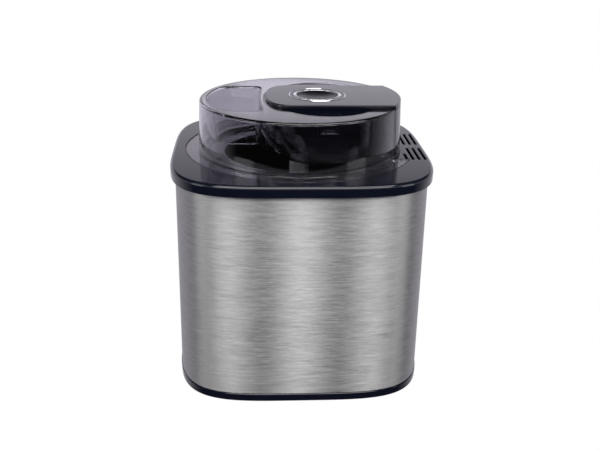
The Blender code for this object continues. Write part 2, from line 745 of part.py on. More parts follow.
def make_bowl():
    bowl = empty_group("bowl_axis", (0, 0, BOWL_BOTTOM))
    outer_inside = BOWL_OUTER_R - BOWL_OUTER_WALL
    shell_top = BOWL_TOP - BOWL_RIM_THICKNESS - GAP
    floor = BOWL_BOTTOM + BOWL_OUTER_WALL
    outer = [
        (BOWL_OUTER_R - 3.0, BOWL_BOTTOM),
        (BOWL_OUTER_R, BOWL_BOTTOM + 3.0),
        (BOWL_OUTER_R, shell_top),
        (outer_inside, shell_top),
        (outer_inside, floor + 1.5),
        (outer_inside - 1.5, floor),
    ]
    lathe("bowl_outer_shell", outer, count=BIG, finish="grey_plastic", group=bowl, closed=False)
    coolant_top = shell_top - BOWL_RIM_TONGUE - COOLANT_HEADROOM
    coolant_low = floor + GAP
    coolant = [
        (COOLANT_OUTER_R - 2.0, coolant_low),
        (COOLANT_OUTER_R, coolant_low + 2.0),
        (COOLANT_OUTER_R, coolant_top),
        (COOLANT_INNER_R, coolant_top),
        (COOLANT_INNER_R, coolant_low + BOWL_FLOOR_GEL),
    ]
    lathe("coolant_gel", coolant, count=BIG, finish="coolant", group=bowl, closed=False)
    inner_outside = BOWL_INNER_R + BOWL_INNER_WALL
    inner_low = BOWL_FLOOR_TOP - BOWL_INNER_WALL
    inner = [
        (inner_outside - 3.0, inner_low),
        (inner_outside, inner_low + 3.0),
        (inner_outside, shell_top),
        (BOWL_INNER_R, shell_top),
        (BOWL_INNER_R, BOWL_FLOOR_TOP + 2.5),
        (BOWL_INNER_R - 2.5, BOWL_FLOOR_TOP),
    ]
    lathe("bowl_inner_shell", inner, count=BIG, finish="aluminium", group=bowl, closed=False)
    rim_low = BOWL_TOP - BOWL_RIM_THICKNESS
    tongue_low = rim_low - BOWL_RIM_TONGUE
    rim = [
        (BOWL_INNER_R, rim_low),
        (BOWL_INNER_R, BOWL_TOP - 0.8),
        (BOWL_INNER_R + 0.8, BOWL_TOP),
        (BOWL_RIM_R - 0.8, BOWL_TOP),
        (BOWL_RIM_R, BOWL_TOP - 0.8),
        (BOWL_RIM_R, rim_low),
        (COOLANT_OUTER_R, rim_low),
        (COOLANT_OUTER_R, tongue_low),
        (COOLANT_INNER_R, tongue_low),
        (COOLANT_INNER_R, rim_low),
    ]
    lathe("bowl_rim", rim, count=BIG, finish="gloss_black", group=bowl)


def make_paddle():
    paddle = empty_group("paddle_axis", (0, 0, BOWL_FLOOR_TOP))
    low = BOWL_FLOOR_TOP + PADDLE_FLOOR_GAP
    high = BOWL_TOP - PADDLE_TOP_BELOW_RIM
    half = PADDLE_BAR / 2
    frame = box(
        "paddle",
        (-PADDLE_REACH, -half, low),
        (PADDLE_REACH, half, high),
        "white_plastic",
        paddle,
    )
    for side in (-1, 1):
        x0, x1 = sorted((side * PADDLE_BAR_HEIGHT / 2, side * (PADDLE_REACH - 5.0)))
        window = box(
            f"paddle_window_{side}",
            (x0, -half - 1, low + PADDLE_BAR_HEIGHT),
            (x1, half + 1, high - PADDLE_BAR_HEIGHT),
        )
        cut(frame, window)
    for side in (-1, 1):
        join(frame, paddle_blade(side, low, high))
    hub_low = high - PADDLE_BAR_HEIGHT
    join(frame, cylinder("paddle_hub", PADDLE_HUB, hub_low, high + PADDLE_HUB_HEIGHT, count=MIDDLE))
    join(frame, cylinder("paddle_peg", 4.0, BOWL_FLOOR_TOP + GAP, low + 2.0))
    socket_half = SHAFT_SQUARE / 2 + SLIDE_GAP
    socket = box(
        "paddle_socket",
        (-socket_half, -socket_half, high + PADDLE_HUB_HEIGHT - SHAFT_NOSE - 4.0),
        (socket_half, socket_half, high + PADDLE_HUB_HEIGHT + 1.0),
    )
    cut(frame, socket)


def paddle_blade(side, low, high):
    """An upright scraper at the end of the paddle's frame, set at an angle to push the mix inwards."""
    turn = radians(BLADE_ANGLE)
    centre = side * (PADDLE_REACH - BLADE_WIDTH / 2 * cos(turn) - BLADE_THICKNESS / 2)
    along, across = BLADE_WIDTH / 2, BLADE_THICKNESS / 2
    corners = ((-along, -across), (along, -across), (along, across), (-along, across))
    outline = [
        (centre + side * (u * cos(turn) - v * sin(turn)), side * (u * sin(turn) + v * cos(turn)))
        for u, v in corners
    ]
    return prism(f"paddle_blade_{side}", outline, low - 1.0, high + 1.0)


def make_lid():
    lid = empty_group("lid_axis", (0, 0, FLANGE_Z))
    foot_inside = LID_R - LID_WALL
    top_inside = LID_TOP_R - LID_WALL
    flange_top = FLANGE_Z + LID_FLANGE_THICKNESS
    centre_hole = 5.0
    section = [
        (centre_hole, LID_TOP),
        (LID_TOP_R - LID_EDGE_ROUND, LID_TOP),
        (LID_TOP_R - LID_EDGE_ROUND * 0.3, LID_TOP - LID_EDGE_ROUND * 0.3),
        (wall_radius(LID_TOP - LID_EDGE_ROUND), LID_TOP - LID_EDGE_ROUND),
        (LID_R, flange_top),
        (FLANGE_R, flange_top),
        (FLANGE_R, FLANGE_Z),
        (foot_inside, FLANGE_Z),
        (top_inside, LID_UNDER),
        (centre_hole, LID_UNDER),
    ]
    shell = lathe("lid_shell", section, count=BIG, finish="clear_plastic", group=lid)
    tub_top = LID_TOP - LID_WALL / 2
    tub_reach = LID_TOP_R - LID_WALL / 2
    tub = unit_outline(-POCKET_CLEARANCE - POCKET_WALL, tub_reach - 3.0)
    join(shell, prism("pocket_tub", tub, POCKET_FLOOR, tub_top))
    for side in (-1, 1):
        at = (FINGER_X, side * FINGER_Y)
        radius = FINGER_RADIUS + POCKET_WALL
        join(shell, cylinder(f"finger_tub_{side}", radius, POCKET_FLOOR, tub_top, at, MIDDLE))
    join(shell, chute_body("chute_tube", POCKET_WALL, LID_TOP - CHUTE_DEPTH, tub_top))
    high = LID_TOP + 5
    room = unit_outline(-POCKET_CLEARANCE, LID_R + 5)
    cut(shell, prism("pocket_room", room, POCKET_FLOOR_TOP, high))
    for side in (-1, 1):
        at = (FINGER_X, side * FINGER_Y)
        cut(shell, cylinder(f"finger_room_{side}", FINGER_RADIUS, POCKET_FLOOR_TOP, high, at, MIDDLE))
    cut(shell, chute_body("chute_room", 0.0, LID_TOP - CHUTE_DEPTH - 1, high))
    notch_half = PAD_HALF_WIDTH + SLIDE_GAP
    notch_start = TAIL_START - SLIDE_GAP
    notch_low = (notch_start, -notch_half, FLANGE_Z - 5)
    cut(shell, box("unit_notch", notch_low, (FLANGE_R + 5, notch_half, high)))
    cut(shell, cylinder("nose_hole", NOSE_R + SLIDE_GAP, POCKET_FLOOR - 5, POCKET_FLOOR_TOP + 5))


def chute_outline(offset):
    """The filling hole: the lid's circle on the left, straight ends, a hollow right side."""
    reach = LID_TOP_R - CHUTE_RIM + offset
    half = CHUTE_HALF_LENGTH + offset
    start = 180 - degrees(asin(half / reach))
    count = 14
    points = [polar(reach, start + 2 * (180 - start) * i / count) for i in range(count + 1)]
    for i in range(7):
        y = -half + 2 * half * i / 6
        points.append((CHUTE_RIGHT + offset + CHUTE_BOW * (y / half) ** 2, y))
    return points


def chute_body(name, offset, low, high):
    """The chute narrows towards its lower end on the lid's side, like a funnel."""
    centre_x = (CHUTE_RIGHT - LID_TOP_R) / 2
    top = chute_outline(offset)
    share = 1 - CHUTE_TAPER / CHUTE_HALF_LENGTH
    bottom = [(centre_x + (x - centre_x) * share, y * share) for x, y in top]
    return loft(name, [at_height(bottom, low), at_height(top, high)])


def make_housing(unit):
    bottom = unit_outline(0.0, wall_radius(HOUSING_BOTTOM))
    top = unit_outline(0.0, wall_radius(HOUSING_TOP))
    rings = [at_height(bottom, HOUSING_BOTTOM), at_height(top, HOUSING_TOP)]
    housing = loft("motor_housing", rings, "gloss_black", unit)
    half = UNIT_HALF_WIDTH
    tail_end = unit_outline(0.0, wall_radius(TAIL_BOTTOM))
    tail = [point for point in tail_end if point[0] > TAIL_START]
    tail = tail + [(TAIL_START, half), (TAIL_START, -half)]
    join(housing, prism("housing_tail", tail, TAIL_BOTTOM, HOUSING_BOTTOM + 1.0))
    nose_low = SEAL_LOW - GAP
    join(housing, cylinder("housing_nose", NOSE_R, nose_low, HOUSING_BOTTOM + 1.0, count=SMALL))
    room_bottom = unit_outline(UNIT_WALL, wall_radius(HOUSING_FLOOR_TOP))
    room_top = unit_outline(UNIT_WALL, wall_radius(HOUSING_TOP))
    room = [at_height(room_bottom, HOUSING_FLOOR_TOP), at_height(room_top, HOUSING_TOP + 1)]
    cut(housing, loft("housing_room", room))
    inner_end = unit_outline(UNIT_WALL, wall_radius(TAIL_BOTTOM))
    tail_room = [point for point in inner_end if point[0] > TAIL_START + UNIT_WALL]
    inner = half - UNIT_WALL
    tail_room = tail_room + [(TAIL_START + UNIT_WALL, inner), (TAIL_START + UNIT_WALL, -inner)]
    cut(housing, prism("tail_room", tail_room, TAIL_BOTTOM + UNIT_WALL, HOUSING_FLOOR_TOP + 1))
    bush_r = SHAFT_RADIUS + SPIN_GAP + BUSH_WALL
    cut(housing, cylinder("bush_seat", bush_r + GAP, BUSH_SEAT_Z, HOUSING_FLOOR_TOP + 1))
    seal_r = SHAFT_RADIUS + SPIN_GAP + SEAL_WALL
    cut(housing, cylinder("seal_seat", seal_r + GAP, nose_low - 1, BUSH_SEAT_Z + GAP))
    tail_floor_top = TAIL_BOTTOM + UNIT_WALL
    for side in (-1, 1):
        cut(housing, prong_box(f"prong_hole_{side}", side, GAP, TAIL_BOTTOM - 1, tail_floor_top + 1))
        cut(housing, latch_block(f"latch_window_{side}", side, SLIDE_GAP, inner - 2, half + 5))
    boss_top = HOUSING_FLOOR_TOP + COVER_BOSS_HEIGHT
    pocket_top = HOUSING_BOTTOM + SCREW_HEAD_HEIGHT + 2 * GAP
    below = HOUSING_BOTTOM - 1
    for i, at in enumerate(COVER_POST_AT):
        join(housing, cylinder(f"cover_boss_{i}", COVER_BOSS, HOUSING_FLOOR_TOP - 1, boss_top, at))
        cut(
            housing,
            cylinder(f"cover_screw_hole_{i}", SCREW_HOLE, below, boss_top + 1, at, TINY),
            cylinder(f"cover_screw_pocket_{i}", SCREW_HEAD + GAP, below, pocket_top, at, TINY),
        )
    for name, at in (("stage_1", STAGE_1_AT), ("stage_2", STAGE_2_AT)):
        boss = cylinder(f"{name}_boss", AXLE_RADIUS + 2.4, HOUSING_FLOOR_TOP - 1, OUTPUT_Z - GAP, at)
        hole = cylinder(f"{name}_boss_hole", AXLE_RADIUS + GAP, HOUSING_FLOOR_TOP - 0.6, OUTPUT_Z + 1, at)
        join(housing, boss)
        cut(housing, hole)


def latch_block(name, side, margin, near, far, finish=None, group=None):
    """A rounded block in the unit's side wall, from near to far along Y, on the front (-1) or rear (1)."""
    centre = UNIT_TOP - LATCH_CENTRE_BELOW_TOP
    half_width = LATCH_WIDTH / 2 + margin
    half_height = LATCH_HEIGHT / 2 + margin
    outline = rounded_rectangle(
        LATCH_X - half_width,
        LATCH_X + half_width,
        centre - half_height,
        centre + half_height,
        3.0 + margin,
    )
    y0, y1 = sorted((side * near, side * far))
    return along_y(name, outline, y0, y1, finish, group)


def make_latches(unit):
    face = UNIT_HALF_WIDTH
    flange_face = face - UNIT_WALL - GAP
    centre = UNIT_TOP - LATCH_CENTRE_BELOW_TOP
    for side, name in ((-1, "front"), (1, "rear")):
        group = empty_group(f"latch_{name}", (LATCH_X, side * face, centre), unit)
        near = flange_face - 1.5
        latch = latch_block(f"release_latch_{name}", side, 0.0, near, face, "gloss_black", group)
        flange_back = flange_face - LATCH_FLANGE_THICKNESS
        join(latch, latch_block(f"latch_flange_{name}", side, LATCH_FLANGE, flange_back, flange_face))
        post = circle(LATCH_POST, TINY, (LATCH_X, centre))
        y0, y1 = sorted((side * (flange_face - 5.0), side * (flange_face - 1.0)))
        join(latch, along_y(f"latch_post_{name}", post, y0, y1))
        near = flange_back - GAP
        coil_spring_y(f"latch_spring_{name}", side, near, near - LATCH_SPRING_ROOM, centre, unit)


def coil(turns, radius, length, count):
    """Points along a coil that starts at the origin and climbs its own axis."""
    steps = turns * count
    return [(*polar(radius, 360 * i / count), length * i / steps) for i in range(steps + 1)]


def spring_mesh(name, path, wire, finish, group):
    """A wire swept along the path, with flat ends."""
    rings = []
    side = (Vector(path[1]) - Vector(path[0])).orthogonal()
    for i, point in enumerate(path):
        before, after = path[max(i - 1, 0)], path[min(i + 1, len(path) - 1)]
        forward = (Vector(after) - Vector(before)).normalized()
        side = (side - side.dot(forward) * forward).normalized()
        up = forward.cross(side)
        turns = [2 * pi * k / WIRE_FACETS for k in range(WIRE_FACETS)]
        rings.append([Vector(point) + wire * (cos(turn) * side + sin(turn) * up) for turn in turns])
    return loft(name, rings, finish, group)


def coil_spring_y(name, side, near, far, centre, group):
    """A latch's spring, along Y from near to far."""
    wire = LATCH_SPRING_WIRE
    path = coil(SPRING_TURNS, LATCH_POST + 1.4, near - far - 2 * wire, SPRING_FACETS)
    turned_path = [(LATCH_X + u, side * (near - wire - w), centre + v) for u, v, w in path]
    spring_mesh(name, turned_path, wire, "steel", group)


def make_cover(unit):
    rings = [
        at_height(unit_outline(0.0, wall_radius(COVER_UNDER)), COVER_UNDER),
        at_height(unit_outline(0.0, wall_radius(LID_TOP)), UNIT_TOP - 0.8),
        at_height(unit_outline(0.8, wall_radius(LID_TOP)), UNIT_TOP),
    ]
    cover = loft("motor_top_cover", rings, "gloss_black", unit)
    lip_inset = UNIT_WALL + GAP
    lip_radius = wall_radius(HOUSING_TOP)
    lip = prism("cover_lip", unit_outline(lip_inset, lip_radius), COVER_UNDER - COVER_LIP, COVER_UNDER + 1)
    lip_room = unit_outline(lip_inset + COVER_LIP_WALL, lip_radius)
    cut(lip, prism("cover_lip_room", lip_room, COVER_UNDER - COVER_LIP - 1, COVER_UNDER + 0.5))
    join(cover, lip)
    post_low = HOUSING_FLOOR_TOP + COVER_BOSS_HEIGHT + GAP
    hole_top = post_low + SCREW_LENGTH + 1.0
    for i, at in enumerate(COVER_POST_AT):
        join(cover, cylinder(f"cover_post_{i}", COVER_POST, post_low, COVER_UNDER + 1, at))
        cut(cover, cylinder(f"post_hole_{i}", SCREW_HOLE, post_low - 1, hole_top, at, TINY))
    above = UNIT_TOP + 5
    cut(
        cover,
        cylinder("button_hole", TRIM_INNER, COVER_UNDER - 5, above, BUTTON_AT, MIDDLE),
        cylinder("trim_seat", TRIM_OUTER + GAP, UNIT_TOP - TRIM_SEAT, above, BUTTON_AT, MIDDLE),
    )
    inner, outer = LIGHT_RING_INNER, LIGHT_RING_INNER + LIGHT_RING_WIDTH
    low = UNIT_TOP - LIGHT_RING_DEPTH
    cut(cover, tube("light_groove", inner - GAP, outer + GAP, low, above, BUTTON_AT, MIDDLE))
    high = UNIT_TOP + LIGHT_RING_PROUD
    tube("button_light_ring", inner, outer, low + GAP, high, BUTTON_AT, MIDDLE, "chrome", unit)


def make_trim_ring(unit):
    low = UNIT_TOP - TRIM_SEAT + GAP
    section = [
        (TRIM_INNER, low),
        (TRIM_INNER, UNIT_TOP + TRIM_PROUD * 0.4),
        (TRIM_INNER + TRIM_WIDTH * 0.3, UNIT_TOP + TRIM_PROUD),
        (TRIM_INNER + TRIM_WIDTH * 0.7, UNIT_TOP + TRIM_PROUD),
        (TRIM_OUTER, UNIT_TOP + TRIM_PROUD * 0.2),
        (TRIM_OUTER, low),
    ]
    lathe("button_trim_ring", section, BUTTON_AT, MIDDLE, "chrome", unit)


def make_button(unit):
    group = empty_group("power_button_axis", (*BUTTON_AT, UNIT_TOP), unit)
    flange_top = COVER_UNDER - GAP
    flange_low = flange_top - 1.6
    flange_r = BUTTON_RADIUS + BUTTON_FLANGE
    switch_top = PLATE_TOP + 9.0
    dish = [(BUTTON_RADIUS * share, UNIT_TOP - BUTTON_DISH * (1 - share**2)) for share in (0.2, 0.5, 0.8)]
    profile = dish + [
        (BUTTON_RADIUS - 0.6, UNIT_TOP),
        (BUTTON_RADIUS, UNIT_TOP - 0.6),
        (BUTTON_RADIUS, flange_top),
        (flange_r, flange_top),
        (flange_r, flange_low),
        (BUTTON_STEM, flange_low),
        (BUTTON_STEM, switch_top + BUTTON_TRAVEL + SLIDE_GAP),
    ]
    lathe("power_button", profile, BUTTON_AT, MIDDLE, "gloss_black", group, closed=False)
    wire = 0.6
    low = switch_top + GAP + wire
    path = coil(SPRING_TURNS, BUTTON_STEM + 2.0, flange_low - GAP - wire - low, SPRING_FACETS)
    placed = [(BUTTON_X + u, v, low + w) for u, v, w in path]
    spring_mesh("button_spring", placed, wire, "steel", unit)
    box(
        "power_switch",
        (BUTTON_X - 10.0, -9.0, PLATE_TOP + GAP),
        (BUTTON_X + 10.0, 9.0, switch_top),
        "matte_black",
        unit,
    )


def gear_outline(teeth, phase):
    """A gear's outline with straight flanks; a tooth's middle is at the phase, in degrees."""
    pitch_r = GEAR_MODULE * teeth / 2
    root_r = pitch_r - 1.25 * GEAR_MODULE
    tip_r = pitch_r + 0.85 * GEAR_MODULE
    pitch_angle = 360 / teeth
    half_pitch_tooth = pitch_angle / 4 - degrees(GEAR_BACKLASH / 2 / pitch_r)
    slope = degrees(GEAR_MODULE * 0.36 / pitch_r)
    points = []
    for tooth in range(teeth):
        middle = phase + tooth * pitch_angle
        points.append(polar(root_r, middle - half_pitch_tooth - 1.25 * slope))
        points.append(polar(tip_r, middle - half_pitch_tooth + 0.95 * slope))
        points.append(polar(tip_r, middle + half_pitch_tooth - 0.95 * slope))
        points.append(polar(root_r, middle + half_pitch_tooth + 1.25 * slope))
    return points


def moved(outline, at):
    return [(x + at[0], y + at[1]) for x, y in outline]


def meshed_phase(direction, teeth, phase, other_teeth):
    """The phase of a gear that meshes with one of this phase, lying in this direction from it."""
    return direction + 180 + (180 - (phase - direction) * teeth) / other_teeth


def make_drive(unit):
    """The gears from the motor's pinion down to the output shaft, each level meshing at rest."""
    output_phase = 0.0
    stage_2_phase = meshed_phase(STAGE_2_ANGLE, OUTPUT_TEETH, output_phase, LAST_PINION_TEETH)
    stage_1_phase = meshed_phase(STAGE_1_ANGLE, STAGE_TEETH, stage_2_phase, PINION_TEETH)
    motor_phase = meshed_phase(MOTOR_ANGLE, STAGE_TEETH, stage_1_phase, PINION_TEETH)

    output = empty_group("output_axis", (*OUTPUT_AT, OUTPUT_Z), unit)
    teeth = gear_outline(OUTPUT_TEETH, output_phase)
    gear_top = OUTPUT_Z + GEAR_WIDTH
    gear = prism("output_gear", teeth, OUTPUT_Z, gear_top, "gear_plastic", output)
    cut(gear, cylinder("output_gear_bore", SHAFT_RADIUS + GAP, OUTPUT_Z - 1, gear_top + 1))
    nose_low = POCKET_FLOOR - SHAFT_NOSE
    square_top = SEAL_LOW - GAP
    low = square_top - 2.0
    shaft = cylinder("output_shaft", SHAFT_RADIUS, low, PLATE_TOP, finish="steel", group=output)
    half = SHAFT_SQUARE / 2
    join(shaft, box("shaft_square", (-half, -half, nose_low), (half, half, square_top)))

    stage_gear("stage_2_gear", STAGE_2_AT, STAGE_2_Z, stage_2_phase, LAST_PINION_TEETH, unit)
    stage_gear("stage_1_gear", STAGE_1_AT, STAGE_1_Z, stage_1_phase, PINION_TEETH, unit)

    motor = empty_group("motor_axis", (*MOTOR_AT, STAGE_1_Z), unit)
    pinion = prism(
        "motor_pinion",
        moved(gear_outline(PINION_TEETH, motor_phase), MOTOR_AT),
        STAGE_1_Z,
        STAGE_1_Z + GEAR_WIDTH,
        "brass",
        motor,
    )
    cut(pinion, cylinder("pinion_bore", MOTOR_SHAFT + GAP, STAGE_1_Z - 1, PLATE_Z, MOTOR_AT, TINY))
    rotor_low = PLATE_TOP + GAP + MOTOR_CAN_END + 1.0
    rotor_high = PLATE_TOP + GAP + MOTOR_HEIGHT - MOTOR_CAN_END - 1.0
    rotor = cylinder("motor_rotor", MOTOR_ROTOR, rotor_low, rotor_high, MOTOR_AT, SMALL, "steel", motor)
    join(rotor, cylinder("rotor_shaft", MOTOR_SHAFT, STAGE_1_Z - 0.5, rotor_low + 1.0, MOTOR_AT, TINY))


def stage_gear(name, at, z, phase, pinion_teeth, unit):
    """A large gear with a small one moulded under it, turning on a fixed axle."""
    group = empty_group(name + "_axis", (*at, z), unit)
    top = z + GEAR_WIDTH
    gear = prism(name, moved(gear_outline(STAGE_TEETH, phase), at), z, top, "gear_plastic", group)
    pinion_low = z - GEAR_WIDTH - SLIDE_GAP
    pinion = moved(gear_outline(pinion_teeth, phase), at)
    join(gear, prism(name + "_pinion", pinion, pinion_low, z + 1.0))
    cut(gear, cylinder(name + "_bore", AXLE_RADIUS + SPIN_GAP, pinion_low - 1, top + 1, at))


def make_gear_plate(unit):
    inset = UNIT_WALL + LATCH_REACH_IN + PLATE_CLEARANCE
    outline = unit_outline(inset, wall_radius(HOUSING_TOP))
    plate = prism("gear_plate", outline, PLATE_Z, PLATE_TOP, "grey_plastic", unit)
    latch_back = UNIT_HALF_WIDTH - UNIT_WALL - GAP - LATCH_FLANGE_THICKNESS
    seat_near = latch_back - GAP - LATCH_SPRING_ROOM - GAP
    centre = UNIT_TOP - LATCH_CENTRE_BELOW_TOP
    for side in (-1, 1):
        y0, y1 = sorted((side * seat_near, side * (seat_near - 2.0)))
        seat = box(f"spring_seat_{side}", (LATCH_X - 5, y0, PLATE_TOP - 1), (LATCH_X + 5, y1, centre + 4))
        join(plate, seat)
        margin = LATCH_FLANGE + SLIDE_GAP
        cut(plate, latch_block(f"latch_relief_{side}", side, margin, seat_near + 0.5, UNIT_HALF_WIDTH))
    cut(plate, cylinder("plate_shaft_hole", SHAFT_RADIUS + SPIN_GAP, PLATE_Z - 1, PLATE_TOP + 1))
    cut(plate, cylinder("plate_motor_hole", MOTOR_SHAFT + 1.0, PLATE_Z - 1, PLATE_TOP + 1, MOTOR_AT))
    for name, at in (("stage_1", STAGE_1_AT), ("stage_2", STAGE_2_AT)):
        cut(plate, cylinder(f"plate_{name}_hole", AXLE_RADIUS + GAP, PLATE_Z - 1, PLATE_TOP + 1, at))
        low = HOUSING_FLOOR_TOP - 0.6 + GAP
        cylinder(f"{name}_axle", AXLE_RADIUS, low, PLATE_TOP - GAP, at, SMALL, "steel", unit)
    for i, at in enumerate(COVER_POST_AT):
        cut(plate, cylinder(f"plate_post_hole_{i}", COVER_POST + GAP, PLATE_Z - 1, PLATE_TOP + 1, at))


def make_motor(unit):
    low = PLATE_TOP + GAP
    high = low + MOTOR_HEIGHT
    inside = MOTOR_ROTOR + 1.0
    section = [
        (MOTOR_SHAFT + 1.0, low),
        (MOTOR_RADIUS, low),
        (MOTOR_RADIUS, high),
        (MOTOR_SHAFT + 1.5, high),
        (MOTOR_SHAFT + 1.5, high - MOTOR_CAN_END),
        (inside, high - MOTOR_CAN_END),
        (inside, low + MOTOR_CAN_END),
        (MOTOR_SHAFT + 1.0, low + MOTOR_CAN_END),
    ]
    lathe("motor_can", section, MOTOR_AT, MIDDLE, "steel", unit)


def make_small_parts(unit):
    bush_in = SHAFT_RADIUS + SPIN_GAP
    bush_out = bush_in + BUSH_WALL
    bush_low = BUSH_SEAT_Z + GAP
    flange_low = HOUSING_FLOOR_TOP + GAP
    bush = [
        (bush_in, bush_low),
        (bush_out, bush_low),
        (bush_out, flange_low),
        (bush_out + 1.5, flange_low),
        (bush_out + 1.5, OUTPUT_Z - GAP),
        (bush_in, OUTPUT_Z - GAP),
    ]
    lathe("output_bush", bush, count=SMALL, finish="brass", group=unit)
    tube("shaft_seal", bush_in, bush_in + SEAL_WALL, SEAL_LOW, bush_low - GAP, finish="rubber", group=unit)
    plug_low = TAIL_BOTTOM + UNIT_WALL + GAP
    half = SOCKET_THICKNESS / 2 * 0.7
    plug = box(
        "contact_plug",
        (SOCKET_R - half, -SOCKET_WIDTH / 2, plug_low),
        (SOCKET_R + half, SOCKET_WIDTH / 2, plug_low + 3.0),
        "brass",
        unit,
    )
    for side in (-1, 1):
        low = RECESS_Z - GAP - PRONG_LENGTH
        join(plug, prong_box(f"prong_{side}", side, 0.0, low, plug_low + 1.0))
    for i, at in enumerate(COVER_POST_AT):
        head = HOUSING_BOTTOM + GAP
        screw(f"cover_screw_{i + 1}", at, head + SCREW_HEAD_HEIGHT + SCREW_LENGTH, head, unit)
    board_low = PLATE_TOP + 2.5
    board = box(
        "control_board",
        (UNIT_END_CENTRE - 16.0, -16.0, board_low),
        (UNIT_END_CENTRE + 8.0, 16.0, board_low + 1.6),
        "circuit_board",
        unit,
    )
    for i, side in enumerate((-1, 1)):
        at = (UNIT_END_CENTRE - 10.0, side * 12.0)
        join(board, cylinder(f"control_post_{i}", 2.0, PLATE_TOP + GAP, board_low + 0.5, at, TINY))


def main():
    for old in list(bpy.data.objects):
        bpy.data.objects.remove(old)
    make_base()
    make_base_screws()
    make_sleeve()
    make_gland()
    make_bezel()
    make_well()
    make_socket()
    make_power_supply()
    make_bowl()
    make_paddle()
    make_lid()
    unit = empty_group("motor_unit_axis", (0, 0, HOUSING_BOTTOM))
    make_housing(unit)
    make_cover(unit)
    make_trim_ring(unit)
    make_button(unit)
    make_latches(unit)
    make_drive(unit)
    make_gear_plate(unit)
    make_motor(unit)
    make_small_parts(unit)


main()
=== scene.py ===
"""The looks of the ice cream maker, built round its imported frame.

The mesh code works in millimetres and a piece becomes metres as it is written. +Z is up, -Y the front
and +X the motor's side. Places come from the boxes of the frame's nodes.
"""

import json
from math import asin, cos, degrees, hypot, pi, radians, sin, sqrt

import bmesh
import bpy
from mathutils import Matrix, Vector


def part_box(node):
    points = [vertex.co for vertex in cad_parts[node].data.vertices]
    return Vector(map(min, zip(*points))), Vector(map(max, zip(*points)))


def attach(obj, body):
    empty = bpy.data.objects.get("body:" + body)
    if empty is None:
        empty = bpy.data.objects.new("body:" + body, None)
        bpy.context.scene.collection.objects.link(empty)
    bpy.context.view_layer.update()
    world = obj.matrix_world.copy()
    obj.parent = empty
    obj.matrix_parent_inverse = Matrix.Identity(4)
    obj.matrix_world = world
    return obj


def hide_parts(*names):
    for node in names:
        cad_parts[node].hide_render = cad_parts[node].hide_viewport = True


MM = 0.001

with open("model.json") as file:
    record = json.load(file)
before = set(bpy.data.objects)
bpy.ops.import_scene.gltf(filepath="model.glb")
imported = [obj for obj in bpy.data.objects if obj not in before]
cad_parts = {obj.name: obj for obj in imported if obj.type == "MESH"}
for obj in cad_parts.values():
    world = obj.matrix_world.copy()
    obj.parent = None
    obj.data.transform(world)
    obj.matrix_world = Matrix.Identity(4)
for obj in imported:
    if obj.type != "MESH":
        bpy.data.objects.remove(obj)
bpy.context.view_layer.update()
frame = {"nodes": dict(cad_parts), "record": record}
nodes = frame["nodes"]

# Facets round a full turn
FINE = 160
ROUND = 96
SMALL = 40
EDGE_STEPS = 4  # along a rounded edge
CORNER_SPACING = 0.7  # no other point of an outline lies this near to one of its crossings

# Camera, fitted to the object's outlines
CAMERA_AZIMUTH = -3.56
CAMERA_ELEVATION = 21.56
CAMERA_ROLL = 1.02
CAMERA_DISTANCE = 808.6
CAMERA_LENS = 50.8
CAMERA_TARGET = (1.96, 0.0, 125.0)

# Studio: the strength of what surrounds the object, by the height of its direction
STUDIO_TINT = (1.0, 0.965, 1.08)
BACKDROP = 0.9
BACKDROP_FADE = 0.22
BACKDROP_TOP = 0.42
CEILING = 0.07
FLOOR_IN_FRONT = 0.02
FLOOR_BEHIND = 0.65

# Body
OUTLINE_POWER = 3.94
BEZEL_ROUND = 3.0
BEZEL_CHAMFER = 1.0
BEZEL_SIDE = 10.0
BEZEL_PLATE = 8.8
BEZEL_LEDGE = 79.5
BEZEL_SKIRT_WALL = 2.5
SLEEVE_THICKNESS = 0.8
BAND_ROUND = 1.0
BAND_HEIGHT = 7.5
BAND_LIP_HEIGHT = 7.0
TRAY_WALL = 2.5
TRAY_FLOOR = 3.0
RECESS_DEPTH = 2.5
SEAT_DEPTH = 3.3
INLET_HOLE = 7.0
EDGE = 0.4  # how far a sharp moulded edge is rounded
FIT = 0.3  # between two pieces that touch
SLIDE = 0.5  # between two pieces that lift apart

# Vents
VENT_COLUMNS = 5
VENT_WIDTH = 2.4
VENT_EDGE = 5.5
VENT_BRIDGE = 11.0
VENT_REACH = 42.0
VENT_LID_GAP = 2.5
VENT_ROUND = 0.5

# Lid
LID_WALL = 2.2
LID_FLANGE_WIDTH = 11.6
LID_FLANGE_THICKNESS = 2.0
LID_DRAFT = 1.6
LID_EDGE_ROUND = 1.8
POCKET_WALL = 2.0
POCKET_CLEARANCE = 1.0
POCKET_CENTRE = (10.0, 0.0)  # any point inside the bay and both hollows
FINGER_RADIUS = 41.8
FINGER_AT = (22.0, 25.0)
CHUTE_HALF_LENGTH = 48.0
CHUTE_RIGHT = -37.0
CHUTE_RIM = 6.5
CHUTE_DEPTH = 30.0
CHUTE_TAPER = 5.0
CHUTE_BOW = 3.0
CHUTE_CORNER = 9.0

# Motor unit
UNIT_HALF_WIDTH = 40.5
UNIT_END_LENGTH = 24.0
UNIT_END_CENTRE = -6.8
UNIT_END_POWER = 2.6
UNIT_WALL = 2.2
TAIL_START = 76.0
NOSE_HOLE = 10.15
COVER_ROUND = 0.8
COVER_THICKNESS = 3.2
LATCH_SIZE = 20.0
LATCH_DEPTH = 17.2  # its centre, under the unit's top
LATCH_BORDER = 2.2
LATCH_LIFT = 0.5
LATCH_DIP = 0.9

# Button and its rings
BUTTON_RADIUS = 18.2
BUTTON_DISH = 1.8
BUTTON_SINK = 0.05
BUTTON_FLANGE = 1.6
TRIM_WIDTH = 3.2
TRIM_CROWN = 0.7
LIGHT_WIDTH = 0.9
RING_EDGE = 0.15  # how far the edges of the rings' grooves open

